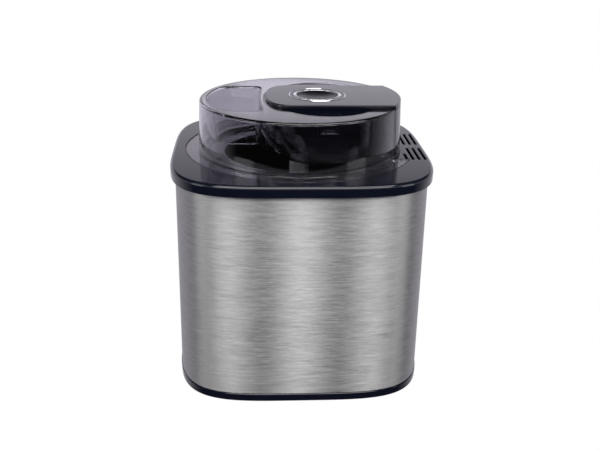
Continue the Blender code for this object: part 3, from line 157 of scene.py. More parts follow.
# Bowl, well and paddle
BOWL_INNER_R = 68.4
BOWL_RIM_ROUND = 0.9
BOWL_RIM_THICKNESS = 2.7
BOWL_RIM_OVERHANG = 4.5
BOWL_TONGUE_INSET = 1.8
BOWL_TONGUE_WIDTH = 6.5
BOWL_WALL = 1.5
BOWL_FOOT_ROUND = 3.5
WELL_WALL = 2.0
WELL_ROOM = 2.0  # between the bowl and the well
WELL_RIB_INSET = 12.0
WELL_RIB_WIDTH = 4.0
WELL_RIB_HEIGHT = 2.7
WELL_SCREW_HOLE = 1.8
PADDLE_BAR = 9.0
PADDLE_HUB_HEIGHT = 24.0
PADDLE_SOCKET = 4.0  # half its width
SCREW_HEAD = 1.8

# Brushed steel's slow light and dark bands, painted reflections of the studio's lights, in metres
STEEL_PAINTED_REFLECTION_PERIOD = 0.066
STEEL_PAINTED_REFLECTION_AT = -0.003
STEEL_PAINTED_REFLECTION_DEPTH = 0.3


def span(node):
    """A node's lowest and highest corners, in millimetres."""
    low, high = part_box(node)
    return low / MM, high / MM


def middle(node):
    low, high = span(node)
    return (low + high) / 2


def upright(node):
    """Where a round upright piece stands, its radius, and its lowest and highest heights."""
    low, high = span(node)
    at = (low + high).xy / 2
    return at, high.x - at.x, low.z, high.z


# ---------------------------------------------------------------- outlines


def polar(radius, angle, centre=(0.0, 0.0)):
    turn = radians(angle)
    return (centre[0] + radius * cos(turn), centre[1] + radius * sin(turn))


def circle(radius, count=ROUND, centre=(0.0, 0.0)):
    return [polar(radius, 360 * i / count, centre) for i in range(count)]


def power_of(value, exponent):
    return abs(value) ** exponent * (1 if value >= 0 else -1)


def body_outline(inset):
    """The body's rounded square, moved inwards by the inset along its own normal."""
    points = []
    for i in range(FINE):
        turn = 2 * pi * i / FINE
        x = power_of(cos(turn), 2 / OUTLINE_POWER)
        y = power_of(sin(turn), 2 / OUTLINE_POWER)
        normal_x = power_of(x, OUTLINE_POWER - 1) / HALF_WIDTH
        normal_y = power_of(y, OUTLINE_POWER - 1) / HALF_DEPTH
        length = hypot(normal_x, normal_y)
        points.append(
            (HALF_WIDTH * x - inset * normal_x / length, HALF_DEPTH * y - inset * normal_y / length)
        )
    return points


def unit_outline(inset, end_radius, count=24):
    """The motor unit from above: an arc of the lid's circle, two straight sides and a rounded end."""
    half = UNIT_HALF_WIDTH - inset
    reach = end_radius - inset
    corner = degrees(asin(half / reach))
    points = [polar(reach, -corner + 2 * corner * i / (count + 1)) for i in range(count + 2)]
    length = UNIT_END_LENGTH - inset
    for i in range(2 * count + 1):
        turn = pi / 2 + pi * i / (2 * count)
        x = power_of(cos(turn), 2 / UNIT_END_POWER)
        y = power_of(sin(turn), 2 / UNIT_END_POWER)
        points.append((UNIT_END_CENTRE + length * x, half * y))
    return points


def rounded_rectangle(x0, x1, y0, y1, radius, count=8):
    corners = (
        (x1 - radius, y1 - radius, 0),
        (x0 + radius, y1 - radius, 90),
        (x0 + radius, y0 + radius, 180),
        (x1 - radius, y0 + radius, 270),
    )
    return [
        polar(radius, start + 90 * i / count, (x, y))
        for x, y, start in corners
        for i in range(count + 1)
    ]


def grown(outline, distance):
    """A closed anticlockwise outline moved outwards, its corners mitred."""
    points = []
    for i, (x, y) in enumerate(outline):
        before = outline[i - 1]
        after = outline[(i + 1) % len(outline)]
        first = Vector((y - before[1], before[0] - x)).normalized()
        second = Vector((after[1] - y, x - after[0])).normalized()
        both = first + second
        reach = distance / max(both.dot(first), 0.5)
        points.append((x + both.x * reach, y + both.y * reach))
    return points


def eased(outline, reach, count=6):
    """The outline with every sharp corner swapped for a curve that starts this far from it."""
    total = len(outline)
    corners = []
    for i, point in enumerate(outline):
        before = Vector(point) - Vector(outline[i - 1])
        after = Vector(outline[(i + 1) % total]) - Vector(point)
        if before.angle(after) > radians(35):
            corners.append(point)
    kept = []
    for point in outline:
        away = min((Vector(point) - Vector(c)).length for c in corners)
        if point in corners or away > reach:
            kept.append(point)
    points = []
    for i, point in enumerate(kept):
        if point not in corners:
            points.append(point)
            continue
        corner = Vector(point)
        start = corner + (Vector(kept[i - 1]) - corner).normalized() * reach
        end = corner + (Vector(kept[(i + 1) % len(kept)]) - corner).normalized() * reach
        for step in range(count + 1):
            t = step / count
            points.append(tuple((1 - t) ** 2 * start + 2 * t * (1 - t) * corner + t**2 * end))
    return points


def reach_along(outline, centre, angle):
    """How far from the centre a convex outline is crossed, going out at this angle in degrees."""
    forward = Vector(polar(1.0, angle))
    for i, point in enumerate(outline):
        start = Vector(outline[i - 1]) - Vector(centre)
        edge = Vector(point) - Vector(outline[i - 1])
        turn = forward.cross(edge)
        if abs(turn) < 1e-12:
            continue
        share = start.cross(forward) / turn
        away = start.cross(edge) / turn
        if 0 <= share <= 1 and away > 0:
            return away
    raise ValueError("the centre lies outside the outline")


def joined_outline(outlines, centre, count=2 * FINE):
    """The outer edge of convex outlines round one centre, with their crossings as exact corners."""

    def widest(angle):
        reaches = [reach_along(outline, centre, angle) for outline in outlines]
        return max(range(len(reaches)), key=reaches.__getitem__), max(reaches)

    points = []
    corners = []
    for i in range(count):
        low, high = 360 * i / count, 360 * (i + 1) / count
        first, reach = widest(low)
        points.append(polar(reach, low, centre))
        if widest(high)[0] == first:
            continue
        for _ in range(20):
            half = (low + high) / 2
            if widest(half)[0] == first:
                low = half
            else:
                high = half
        corners.append(polar(widest(low)[1], low, centre))
        points.append(corners[-1])

    def crowded(point):
        return any(hypot(point[0] - x, point[1] - y) <= CORNER_SPACING for x, y in corners)

    return [point for point in points if point in corners or not crowded(point)]


def edge_profile(radius, steps=EDGE_STEPS):
    """(growth, drop) pairs down a rounded edge, from the flat face to the wall."""
    turns = [pi / 2 * i / steps for i in range(steps + 1)]
    return [(radius * (1 - sin(turn)), radius * (1 - cos(turn))) for turn in turns]


# ---------------------------------------------------------------- meshes


def add_loop(bm, outline, z):
    return [bm.verts.new((x, y, z)) for x, y in outline]


def bridge(bm, low, high):
    for i in range(len(low)):
        j = (i + 1) % len(low)
        bm.faces.new((low[i], low[j], high[j], high[i]))


def fill(bm, *loops):
    """A flat face between an outer loop and the loops of its holes."""
    edges = []
    for loop in loops:
        for i, vert in enumerate(loop):
            pair = (loop[i - 1], vert)
            edges.append(bm.edges.get(pair) or bm.edges.new(pair))
    bmesh.ops.triangle_fill(bm, edges=edges, use_beauty=True)


def skin(bm, rows):
    for low, high in zip(rows, rows[1:]):
        bridge(bm, low, high)


def write(name, bm, finish, sharp=30.0):
    """An object from a closed bmesh in millimetres, smooth but for its sharp edges."""
    bmesh.ops.recalc_face_normals(bm, faces=bm.faces)
    bmesh.ops.scale(bm, vec=(MM, MM, MM), verts=bm.verts)
    mesh = bpy.data.meshes.new(name)
    bm.to_mesh(mesh)
    bm.free()
    piece = bpy.data.objects.new(name, mesh)
    bpy.context.scene.collection.objects.link(piece)
    if finish:
        mesh.materials.append(finish)
    smooth(piece, sharp)
    return piece


def smooth(piece, sharp=30.0):
    piece.data.shade_smooth()
    piece.data.set_sharp_from_angle(angle=radians(sharp))


def even_normals(piece):
    """Lets flat faces decide the shading of the edges beside them."""
    modifier = piece.modifiers.new("even_normals", "WEIGHTED_NORMAL")
    modifier.keep_sharp = True
    modifier.weight = 100
    return piece


def loft(name, rings, finish=None, closed=False):
    """A body through (outline, z) rings. Closed joins the last to the first, else the ends are capped."""
    bm = bmesh.new()
    rows = [add_loop(bm, outline, z) for outline, z in rings]
    skin(bm, rows)
    if closed:
        bridge(bm, rows[-1], rows[0])
    else:
        bm.faces.new(rows[0])
        bm.faces.new(rows[-1])
    return write(name, bm, finish)


def prism(name, outline, low, high, finish=None):
    return loft(name, [(outline, low), (outline, high)], finish)


def lathe(name, profile, centre=(0.0, 0.0), count=ROUND, finish=None, closed=True):
    return loft(name, [(circle(radius, count, centre), z) for radius, z in profile], finish, closed)


def cylinder(name, radius, low, high, centre=(0.0, 0.0), count=SMALL):
    return prism(name, circle(radius, count, centre), low, high)


def box(name, low, high):
    (x0, y0, z0), (x1, y1, z1) = low, high
    return prism(name, [(x0, y0), (x1, y0), (x1, y1), (x0, y1)], z0, z1)


def facing_y(piece, side, at):
    """Lays a body that was built upwards so that its top faces the front (-1) or the rear (1)."""
    turn = Matrix.Rotation(radians(-90 * side), 4, "X")
    piece.data.transform(Matrix.Translation(Vector(at) * MM) @ turn)
    return piece


def combine(piece, others, operation):
    """Cuts the other bodies from the piece, or joins them on, for good."""
    for other in others:
        modifier = piece.modifiers.new("combine", "BOOLEAN")
        modifier.operation = operation
        modifier.solver = "MANIFOLD"
        modifier.object = other
    graph = bpy.context.evaluated_depsgraph_get()
    made = bpy.data.meshes.new_from_object(piece.evaluated_get(graph))
    made.name = piece.name
    piece.modifiers.clear()
    piece.data = made
    for other in others:
        bpy.data.objects.remove(other)
    smooth(piece)
    return piece


def cut(piece, *cutters):
    return combine(piece, cutters, "DIFFERENCE")


def join(piece, *additions):
    return combine(piece, additions, "UNION")


def flared(name, outline, low, top, radius, depth_above=5.0):
    """A cutter whose upper end rounds over the edge of the hole that it cuts."""
    rings = [(outline, low)]
    for growth, drop in reversed(edge_profile(radius)):
        rings.append((grown(outline, growth), top - drop))
    rings.append((grown(outline, radius), top + depth_above))
    return loft(name, rings)


def settle(piece, body, slot, *replaced):
    """The piece rides on its body and stands for its nodes, which it hides."""
    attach(piece, body)
    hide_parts(*replaced)
    return even_normals(piece)


# ---------------------------------------------------------------- materials


def new_material(name):
    """A material whose name can't meet one that came with the frame, its node tree and its shader."""
    made = bpy.data.materials.new(f"{name}_finish")
    made.use_nodes = True
    return made, made.node_tree, made.node_tree.nodes["Principled BSDF"]


def add_node(tree, kind, values=None, **settings):
    made = tree.nodes.new(kind)
    for socket, value in (values or {}).items():
        made.inputs[socket].default_value = value
    for name, value in settings.items():
        setattr(made, name, value)
    return made


def noise(tree, stretch, detail=2.0, roughness=0.5):
    """Noise over the object, with this many features in a metre along each axis."""
    place = add_node(tree, "ShaderNodeTexCoord")
    mapping = add_node(tree, "ShaderNodeMapping", {"Scale": stretch})
    made = add_node(
        tree, "ShaderNodeTexNoise", {"Scale": 1.0, "Detail": detail, "Roughness": roughness}
    )
    tree.links.new(place.outputs["Object"], mapping.inputs["Vector"])
    tree.links.new(mapping.outputs["Vector"], made.inputs["Vector"])
    return made.outputs["Fac"]


def even_noise(tree, scale, detail=2.0):
    return noise(tree, (scale, scale, scale), detail)


def between(tree, factor, low, high, start=0.3, end=0.7):
    """The factor, from start to end, as a number from low to high."""
    made = add_node(
        tree,
        "ShaderNodeMapRange",
        {"From Min": start, "From Max": end, "To Min": low, "To Max": high},
    )
    tree.links.new(factor, made.inputs["Value"])
    return made.outputs["Result"]


def shade(tree, factor, dark, light):
    """A colour between dark and light."""
    made = add_node(tree, "ShaderNodeMix", data_type="RGBA")
    made.inputs[6].default_value = (*dark, 1.0)
    made.inputs[7].default_value = (*light, 1.0)
    tree.links.new(factor, made.inputs["Factor"])
    return made.outputs[2]


def calculate(tree, operation, first, second):
    made = add_node(tree, "ShaderNodeMath", operation=operation)
    for socket, value in zip(made.inputs, (first, second)):
        if isinstance(value, (int, float)):
            socket.default_value = value
        else:
            tree.links.new(value, socket)
    return made.outputs["Value"]


def bump(tree, shader, height, distance, strength=1.0):
    made = add_node(tree, "ShaderNodeBump", {"Strength": strength, "Distance": distance})
    tree.links.new(height, made.inputs["Height"])
    tree.links.new(made.outputs["Normal"], shader.inputs["Normal"])


def moulded(name, dark, light, smoothest, roughest, grain=None, depth=0.00003):
    """Moulded plastic or rubber: a slightly uneven colour and gloss, and a grain if it has one."""
    made, tree, shader = new_material(name)
    mottle = even_noise(tree, 60.0, 4.0)
    colour = shade(tree, between(tree, mottle, 0.0, 1.0), dark, light)
    tree.links.new(colour, shader.inputs["Base Color"])
    film = even_noise(tree, 25.0, 3.0)
    tree.links.new(between(tree, film, smoothest, roughest), shader.inputs["Roughness"])
    if grain:
        bump(tree, shader, even_noise(tree, grain, 3.0), depth)
    return made


def metal(name, dark, light, smoothest, roughest, stretch):
    """Bare metal with tool marks: noise drawn out along the direction of the finish."""
    made, tree, shader = new_material(name)
    shader.inputs["Metallic"].default_value = 1.0
    marks = noise(tree, stretch, 3.0)
    colour = shade(tree, between(tree, marks, 0.0, 1.0), dark, light)
    tree.links.new(colour, shader.inputs["Base Color"])
    tree.links.new(between(tree, marks, smoothest, roughest), shader.inputs["Roughness"])
    return made


def dull_black():
    """A black face with little shine, as a finger leaves it."""
    made, tree, shader = new_material("button_black")
    marks = even_noise(tree, 90.0, 4.0)
    colour = shade(tree, marks, (0.002, 0.002, 0.004), (0.004, 0.004, 0.006))
    tree.links.new(colour, shader.inputs["Base Color"])
    tree.links.new(between(tree, marks, 0.2, 0.3), shader.inputs["Roughness"])
    shader.inputs["Specular IOR Level"].default_value = 0.08
    return made


def brushed_steel():
    """Sheet steel brushed along its length, with slow light and dark bands painted across it along X as
    reflections of the studio's lights.
    """
    made, tree, shader = new_material("brushed_steel")
    shader.inputs["Metallic"].default_value = 1.0
    shader.inputs["Anisotropic"].default_value = 0.8
    shader.inputs["Anisotropic Rotation"].default_value = 0.25
    tangent = add_node(tree, "ShaderNodeTangent", direction_type="RADIAL", axis="Z")
    tree.links.new(tangent.outputs["Tangent"], shader.inputs["Tangent"])
    streaks = noise(tree, (60.0, 60.0, 900.0), 3.0, 0.6)
    hairs = noise(tree, (170.0, 170.0, 3200.0), 2.0)
    place = add_node(tree, "ShaderNodeTexCoord")
    split = add_node(tree, "ShaderNodeSeparateXYZ")
    tree.links.new(place.outputs["Object"], split.inputs["Vector"])
    # painted reflection: the base colour gets lighter and darker in slow bands along X, standing in for
    # the lights that the steel reflects
    across = calculate(tree, "SUBTRACT", split.outputs["X"], STEEL_PAINTED_REFLECTION_AT)
    phase = calculate(tree, "MULTIPLY", across, 2 * pi / STEEL_PAINTED_REFLECTION_PERIOD)
    band = calculate(tree, "COSINE", phase, 0.0)
    tone = calculate(tree, "ADD", between(tree, streaks, -0.11, 0.11), between(tree, hairs, -0.08, 0.08))
    tone = calculate(tree, "ADD", tone, calculate(tree, "MULTIPLY", band, STEEL_PAINTED_REFLECTION_DEPTH))
    tone = calculate(tree, "ADD", tone, 0.5)
    colour = shade(tree, tone, (0.25, 0.25, 0.245), (0.83, 0.83, 0.815))
    tree.links.new(colour, shader.inputs["Base Color"])
    tree.links.new(between(tree, streaks, 0.46, 0.56), shader.inputs["Roughness"])
    bump(tree, shader, hairs, 0.000006)
    return made


def clear_plastic():
    """Clear moulded plastic with a faint cool tint and a few wipe marks in its gloss."""
    made, tree, shader = new_material("clear_plastic")
    shader.inputs["Transmission Weight"].default_value = 1.0
    shader.inputs["IOR"].default_value = 1.49
    wipes = noise(tree, (14.0, 14.0, 60.0), 4.0)
    colour = shade(tree, wipes, (0.68, 0.67, 0.71), (0.74, 0.73, 0.77))
    tree.links.new(colour, shader.inputs["Base Color"])
    tree.links.new(between(tree, wipes, 0.0, 0.04), shader.inputs["Roughness"])
    return made


def circuit_board():
    """Green board with lighter tracks."""
    made, tree, shader = new_material("circuit_board")
    place = add_node(tree, "ShaderNodeTexCoord")
    tracks = add_node(tree, "ShaderNodeTexBrick", {"Scale": 180.0, "Mortar Size": 0.012})
    tracks.inputs["Color1"].default_value = (0.012, 0.11, 0.045, 1.0)
    tracks.inputs["Color2"].default_value = (0.015, 0.13, 0.05, 1.0)
    tracks.inputs["Mortar"].default_value = (0.06, 0.30, 0.12, 1.0)
    tree.links.new(place.outputs["Object"], tracks.inputs["Vector"])
    tree.links.new(tracks.outputs["Color"], shader.inputs["Base Color"])
    tree.links.new(between(tree, even_noise(tree, 40.0), 0.3, 0.45), shader.inputs["Roughness"])
    return made


# Name, darkest and lightest colour, smoothest and roughest, then the grain and its depth if there is one
MOULDED = (
    ("gloss_black", (0.002, 0.003, 0.007), (0.003, 0.004, 0.009), 0.05, 0.09),
    ("cover_black", (0.004, 0.004, 0.008), (0.006, 0.006, 0.010), 0.12, 0.17),
    ("matte_black", (0.014, 0.014, 0.016), (0.022, 0.022, 0.024), 0.42, 0.55, 1600.0),
    ("grey_plastic", (0.19, 0.195, 0.21), (0.23, 0.235, 0.25), 0.38, 0.5, 1400.0),
    ("white_plastic", (0.74, 0.74, 0.72), (0.80, 0.80, 0.785), 0.25, 0.38, 1200.0, 0.00001),
    ("gear_plastic", (0.78, 0.75, 0.66), (0.84, 0.82, 0.74), 0.3, 0.42, 1000.0, 0.00001),
    ("coolant", (0.26, 0.52, 0.74), (0.34, 0.60, 0.80), 0.25, 0.4),
    ("rubber", (0.016, 0.016, 0.016), (0.028, 0.028, 0.028), 0.6, 0.8, 900.0),
)

# Name, darkest and lightest colour, smoothest and roughest, and how the tool marks are drawn out
METALS = (
    ("chrome", (0.86, 0.86, 0.88), (0.93, 0.93, 0.95), 0.04, 0.09, (120, 120, 120)),
    ("satin_chrome", (0.80, 0.80, 0.82), (0.88, 0.88, 0.90), 0.16, 0.22, (120, 120, 120)),
    ("aluminium", (0.70, 0.70, 0.71), (0.82, 0.82, 0.83), 0.22, 0.34, (20, 20, 1400)),
    # painted shade: aluminium coloured near black, standing in for the shade inside the bowl under the
    # lid
    ("painted_shade_aluminium", (0.05, 0.05, 0.055), (0.08, 0.08, 0.085), 0.26, 0.36, (20, 20, 1400)),
    ("steel", (0.46, 0.46, 0.47), (0.60, 0.60, 0.61), 0.2, 0.34, (60, 60, 900)),
    ("brass", (0.64, 0.47, 0.22), (0.78, 0.60, 0.31), 0.22, 0.36, (60, 60, 900)),
)


def make_finishes():
    made = {
        "button_black": dull_black(),
        "brushed_steel": brushed_steel(),
        "clear_plastic": clear_plastic(),
        "circuit_board": circuit_board(),
    }
    for row in MOULDED:
        made[row[0]] = moulded(*row)
    for row in METALS:
        made[row[0]] = metal(*row)
    return made


def finish_cad_nodes():
    """Every CAD node that stays gets the procedural material of its slot."""
    for part in frame["record"]["subparts"]:
        mesh = nodes[part["node"]].data
        mesh.materials.clear()
        mesh.materials.append(finishes[part["material_slot"]])


# ---------------------------------------------------------------- sizes from the frame

bezel_low, bezel_high = span("top_bezel")
sleeve_low, sleeve_high = span("steel_sleeve")
tray_low, tray_high = span("base_tray")
lid_low, lid_high = span("lid_shell")
housing_low, housing_high = span("motor_housing")

HALF_WIDTH = bezel_high.x
HALF_DEPTH = bezel_high.y
BEZEL_TOP = bezel_high.z
BEZEL_UNDER = BEZEL_TOP - BEZEL_PLATE
SLEEVE_INSET = HALF_WIDTH - sleeve_high.x
BAND_INSET = HALF_WIDTH - tray_high.x
RECESS_Z = BEZEL_TOP - RECESS_DEPTH
FLANGE_R = -lid_low.x
RECESS_R = FLANGE_R + SLIDE
LID_R = FLANGE_R - LID_FLANGE_WIDTH
LID_TOP = lid_high.z
LID_TOP_R = LID_R - LID_DRAFT
LID_UNDER = LID_TOP - LID_WALL
FLANGE_Z = lid_low.z
PAD_R = LID_R + SLIDE
PAD_HALF_WIDTH = UNIT_HALF_WIDTH + SLIDE
POCKET_FLOOR = BEZEL_TOP + 3.2
POCKET_FLOOR_TOP = POCKET_FLOOR + POCKET_WALL
BOWL_RIM_R = upright("bowl_rim")[1]
BOWL_HOLE_R = BOWL_RIM_R + SLIDE
BOWL_LEDGE_Z = RECESS_Z - SEAT_DEPTH
UNIT_TOP = span("motor_top_cover")[1].z
LATCH_Z = UNIT_TOP - LATCH_DEPTH
BUTTON_AT = middle("power_button").xy


def wall_radius(z):
    """The lid wall's outer radius at this height."""
    return LID_R - LID_DRAFT * (z - BEZEL_TOP) / (LID_TOP - BEZEL_TOP)


# ---------------------------------------------------------------- body


def make_sleeve():
    low, high = sleeve_low.z, sleeve_high.z
    inner = SLEEVE_INSET + SLEEVE_THICKNESS
    hem = 0.25
    rings = [
        (SLEEVE_INSET + hem, low),
        (SLEEVE_INSET, low + hem),
        (SLEEVE_INSET, high - hem),
        (SLEEVE_INSET + hem, high),
        (inner - hem, high),
        (inner, high - hem),
        (inner, low + hem),
        (inner - hem, low),
    ]
    sleeve = loft(
        "steel_sleeve_brushed",
        [(body_outline(inset), z) for inset, z in rings],
        finishes["brushed_steel"],
        closed=True,
    )
    gland = middle("cord_gland")
    hole = cylinder("inlet_cutter", INLET_HOLE, -8.0, 8.0)
    facing_y(hole, 1, (gland.x, sleeve_high.y, gland.z))
    cut(sleeve, hole)
    settle(sleeve, "base", "brushed_steel", "steel_sleeve")


def make_tray():
    """The black band under the steel, with the underside that the feet and screws sit in."""
    low = tray_low.z
    band_top = low + BAND_HEIGHT - FIT
    lip = SLEEVE_INSET + SLEEVE_THICKNESS + FIT
    lip_top = band_top + BAND_LIP_HEIGHT
    rings = [(BAND_INSET + growth, low + drop) for growth, drop in edge_profile(BAND_ROUND)]
    rings += [
        (BAND_INSET, band_top - EDGE),
        (BAND_INSET + EDGE, band_top),
        (lip, band_top),
        (lip, lip_top),
        (lip + TRAY_WALL, lip_top),
        (lip + TRAY_WALL, low + TRAY_FLOOR),
    ]
    tray = loft("base_band", [(body_outline(inset), z) for inset, z in rings], finishes["gloss_black"])
    cutters = []
    for i in range(1, 5):
        at, radius, _, high = upright(f"foot_{i}")
        cutters.append(cylinder(f"seat_{i}", radius + FIT, low - 1, high + FIT, at, ROUND))
        at, radius, _, _ = upright(f"base_screw_{i}")
        cutters.append(cylinder(f"pocket_{i}", radius + FIT, low - 1, low + 5, at))
    cut(tray, *cutters)
    settle(tray, "base", "gloss_black", "base_tray")


def recess_outline():
    """The circle that the lid's flange sits in, less the raised pad with the vents."""
    outer = degrees(asin(PAD_HALF_WIDTH / RECESS_R))
    inner = degrees(asin(PAD_HALF_WIDTH / PAD_R))
    wide = [polar(RECESS_R, outer + (360 - 2 * outer) * i / FINE) for i in range(FINE + 1)]
    count = FINE // 8
    narrow = [polar(PAD_R, -inner + 2 * inner * i / count) for i in range(count + 1)]
    return wide + narrow


def vent_outlines():
    """Slots that run front to back, in a row on each side of the middle."""
    first = sqrt(PAD_R**2 - PAD_HALF_WIDTH**2) + VENT_LID_GAP + VENT_WIDTH
    last = HALF_WIDTH - VENT_EDGE
    half = VENT_WIDTH / 2
    outlines = []
    for column in range(VENT_COLUMNS):
        x = first + (last - first) * column / (VENT_COLUMNS - 1)
        lid_edge = PAD_R + VENT_LID_GAP + half
        near = max(VENT_BRIDGE / 2, sqrt(max(lid_edge**2 - x**2, 0)))
        for side in (-1, 1):
            y0, y1 = sorted((side * near, side * VENT_REACH))
            outlines.append(rounded_rectangle(x - half, x + half, y0, y1, half * 0.96, 6))
    return outlines


def open_down(bm, outline, top, bottom, radius):
    """The rounded edge and the wall of an opening; returns its top and bottom loops."""
    rows = [add_loop(bm, grown(outline, growth), top - drop) for growth, drop in edge_profile(radius)]
    rows.append(add_loop(bm, outline, bottom))
    skin(bm, rows)
    return rows[0], rows[-1]


def make_bezel():
    bm = bmesh.new()
    skirt = SLEEVE_INSET + SLEEVE_THICKNESS + FIT
    side_low = BEZEL_TOP - BEZEL_SIDE
    section = [
        (skirt + BEZEL_SKIRT_WALL, BEZEL_UNDER),
        (skirt + BEZEL_SKIRT_WALL, bezel_low.z),
        (skirt, bezel_low.z),
        (skirt, side_low),
        (BEZEL_CHAMFER, side_low),
        (BEZEL_CHAMFER * 0.3, side_low + BEZEL_CHAMFER * 0.3),
        (0.0, side_low + BEZEL_CHAMFER),
    ]
    rim = [(growth, BEZEL_TOP - drop) for growth, drop in edge_profile(BEZEL_ROUND, 8)]
    outer = [add_loop(bm, body_outline(inset), z) for inset, z in section + rim[::-1]]
    skin(bm, outer)
    recess_top, recess_floor = open_down(bm, recess_outline(), BEZEL_TOP, RECESS_Z, EDGE)
    vents = [open_down(bm, slot, BEZEL_TOP, BEZEL_UNDER, VENT_ROUND) for slot in vent_outlines()]
    fill(bm, outer[-1], recess_top, *[top for top, bottom in vents])
    socket_low, socket_high = span("contact_socket")
    gap = SLIDE / 2
    socket = rounded_rectangle(
        socket_low.x - gap, socket_high.x + gap, socket_low.y - gap, socket_high.y + gap, 0.4, 3
    )
    socket_top, socket_bottom = open_down(bm, socket, RECESS_Z, BEZEL_UNDER, 0.2)
    seat_top, seat_floor = open_down(bm, circle(BOWL_HOLE_R, FINE), RECESS_Z, BOWL_LEDGE_Z, EDGE)
    fill(bm, recess_floor, seat_top, socket_top)
    ledge = [add_loop(bm, circle(BEZEL_LEDGE, FINE), z) for z in (BOWL_LEDGE_Z, BEZEL_UNDER)]
    skin(bm, [seat_floor, *ledge])
    fill(bm, outer[0], ledge[-1], socket_bottom, *[bottom for top, bottom in vents])
    bezel = write("bezel_moulding", bm, finishes["gloss_black"])
    settle(bezel, "base", "gloss_black", "top_bezel")


# ---------------------------------------------------------------- lid


def chute_outline(offset):
    """The filling hole: the lid's circle on the left, straight ends, a hollow right side."""
    reach = LID_TOP_R - CHUTE_RIM + offset
    half = CHUTE_HALF_LENGTH + offset
    start = 180 - degrees(asin(half / reach))
    count = 40
    points = [polar(reach, start + 2 * (180 - start) * i / count) for i in range(count + 1)]
    count = 16
    for i in range(count + 1):
        y = -half + 2 * half * i / count
        points.append((CHUTE_RIGHT + offset + CHUTE_BOW * (y / half) ** 2, y))
    return eased(points, CHUTE_CORNER + offset)


def funnel(outline, depth):
    """The chute's outline as it narrows towards its lower end."""
    centre_x = (CHUTE_RIGHT - LID_TOP_R) / 2
    share = 1 - CHUTE_TAPER / CHUTE_HALF_LENGTH * depth / CHUTE_DEPTH
    return [(centre_x + (x - centre_x) * share, y * share) for x, y in outline]


def pocket_outline(offset, end_radius):
    """The bay in the lid: room for the motor unit, and for the fingers at the latches on both sides."""
    unit = unit_outline(-POCKET_CLEARANCE - offset, end_radius)
    x, y = FINGER_AT
    hollows = [circle(FINGER_RADIUS + offset, 2 * FINE, (x, side * y)) for side in (-1, 1)]
    return joined_outline([unit, *hollows], POCKET_CENTRE)


def make_lid():
    flange_top = FLANGE_Z + LID_FLANGE_THICKNESS
    centre_hole = 5.0
    section = [(centre_hole, LID_TOP)]
    for growth, drop in edge_profile(LID_EDGE_ROUND, 6):
        section.append((wall_radius(LID_TOP - drop) - growth, LID_TOP - drop))
    fillet = 0.8
    for growth, drop in edge_profile(fillet):
        section.append((wall_radius(flange_top) + fillet - growth, flange_top + fillet - drop))
    for growth, drop in edge_profile(0.5):
        section.append((FLANGE_R - growth, flange_top - drop))
    section += [
        (FLANGE_R, FLANGE_Z + 0.4),
        (FLANGE_R - 0.4, FLANGE_Z),
        (LID_R - LID_WALL + 0.3, FLANGE_Z),
        (LID_R - LID_WALL, FLANGE_Z + 0.3),
        (LID_TOP_R - LID_WALL, LID_UNDER - 1.0),
        (LID_TOP_R - LID_WALL - 0.3, LID_UNDER - 0.3),
        (LID_TOP_R - LID_WALL - 1.0, LID_UNDER),
        (centre_hole, LID_UNDER),
    ]
    lid = lathe("lid_clear", section, count=FINE, finish=finishes["clear_plastic"])
    tub_top = LID_TOP - LID_WALL / 2
    tub_reach = LID_TOP_R - LID_WALL / 2 - 3.0
    tub = pocket_outline(POCKET_WALL, tub_reach)
    room = pocket_outline(0.0, LID_R + 5)
    tubs = [prism("pocket_tub", tub, POCKET_FLOOR, tub_top)]
    rooms = [flared("pocket_room", room, POCKET_FLOOR_TOP, LID_TOP, 0.6)]
    tube = chute_outline(POCKET_WALL)
    low = LID_TOP - CHUTE_DEPTH
    tubs.append(loft("chute_tube", [(funnel(tube, CHUTE_DEPTH), low), (tube, tub_top)]))
    hole = chute_outline(0.0)
    rings = [(funnel(hole, CHUTE_DEPTH + 1), low - 1)]
    for growth, drop in reversed(edge_profile(1.2, 6)):
        rings.append((grown(funnel(hole, drop), growth), LID_TOP - drop))
    rings.append((grown(hole, 1.2), LID_TOP + 5))
    rooms.append(loft("chute_room", rings))
    notch_half = PAD_HALF_WIDTH + SLIDE
    notch = box(
        "unit_notch",
        (TAIL_START - SLIDE, -notch_half, FLANGE_Z - 5),
        (FLANGE_R + 5, notch_half, LID_TOP + 5),
    )
    nose = cylinder("nose_hole", NOSE_HOLE, POCKET_FLOOR - 5, POCKET_FLOOR_TOP + 5, count=ROUND)
    join(lid, *tubs)
    cut(lid, *rooms, notch, nose)
    settle(lid, "lid", "clear_plastic", "lid_shell")


# ---------------------------------------------------------------- motor unit


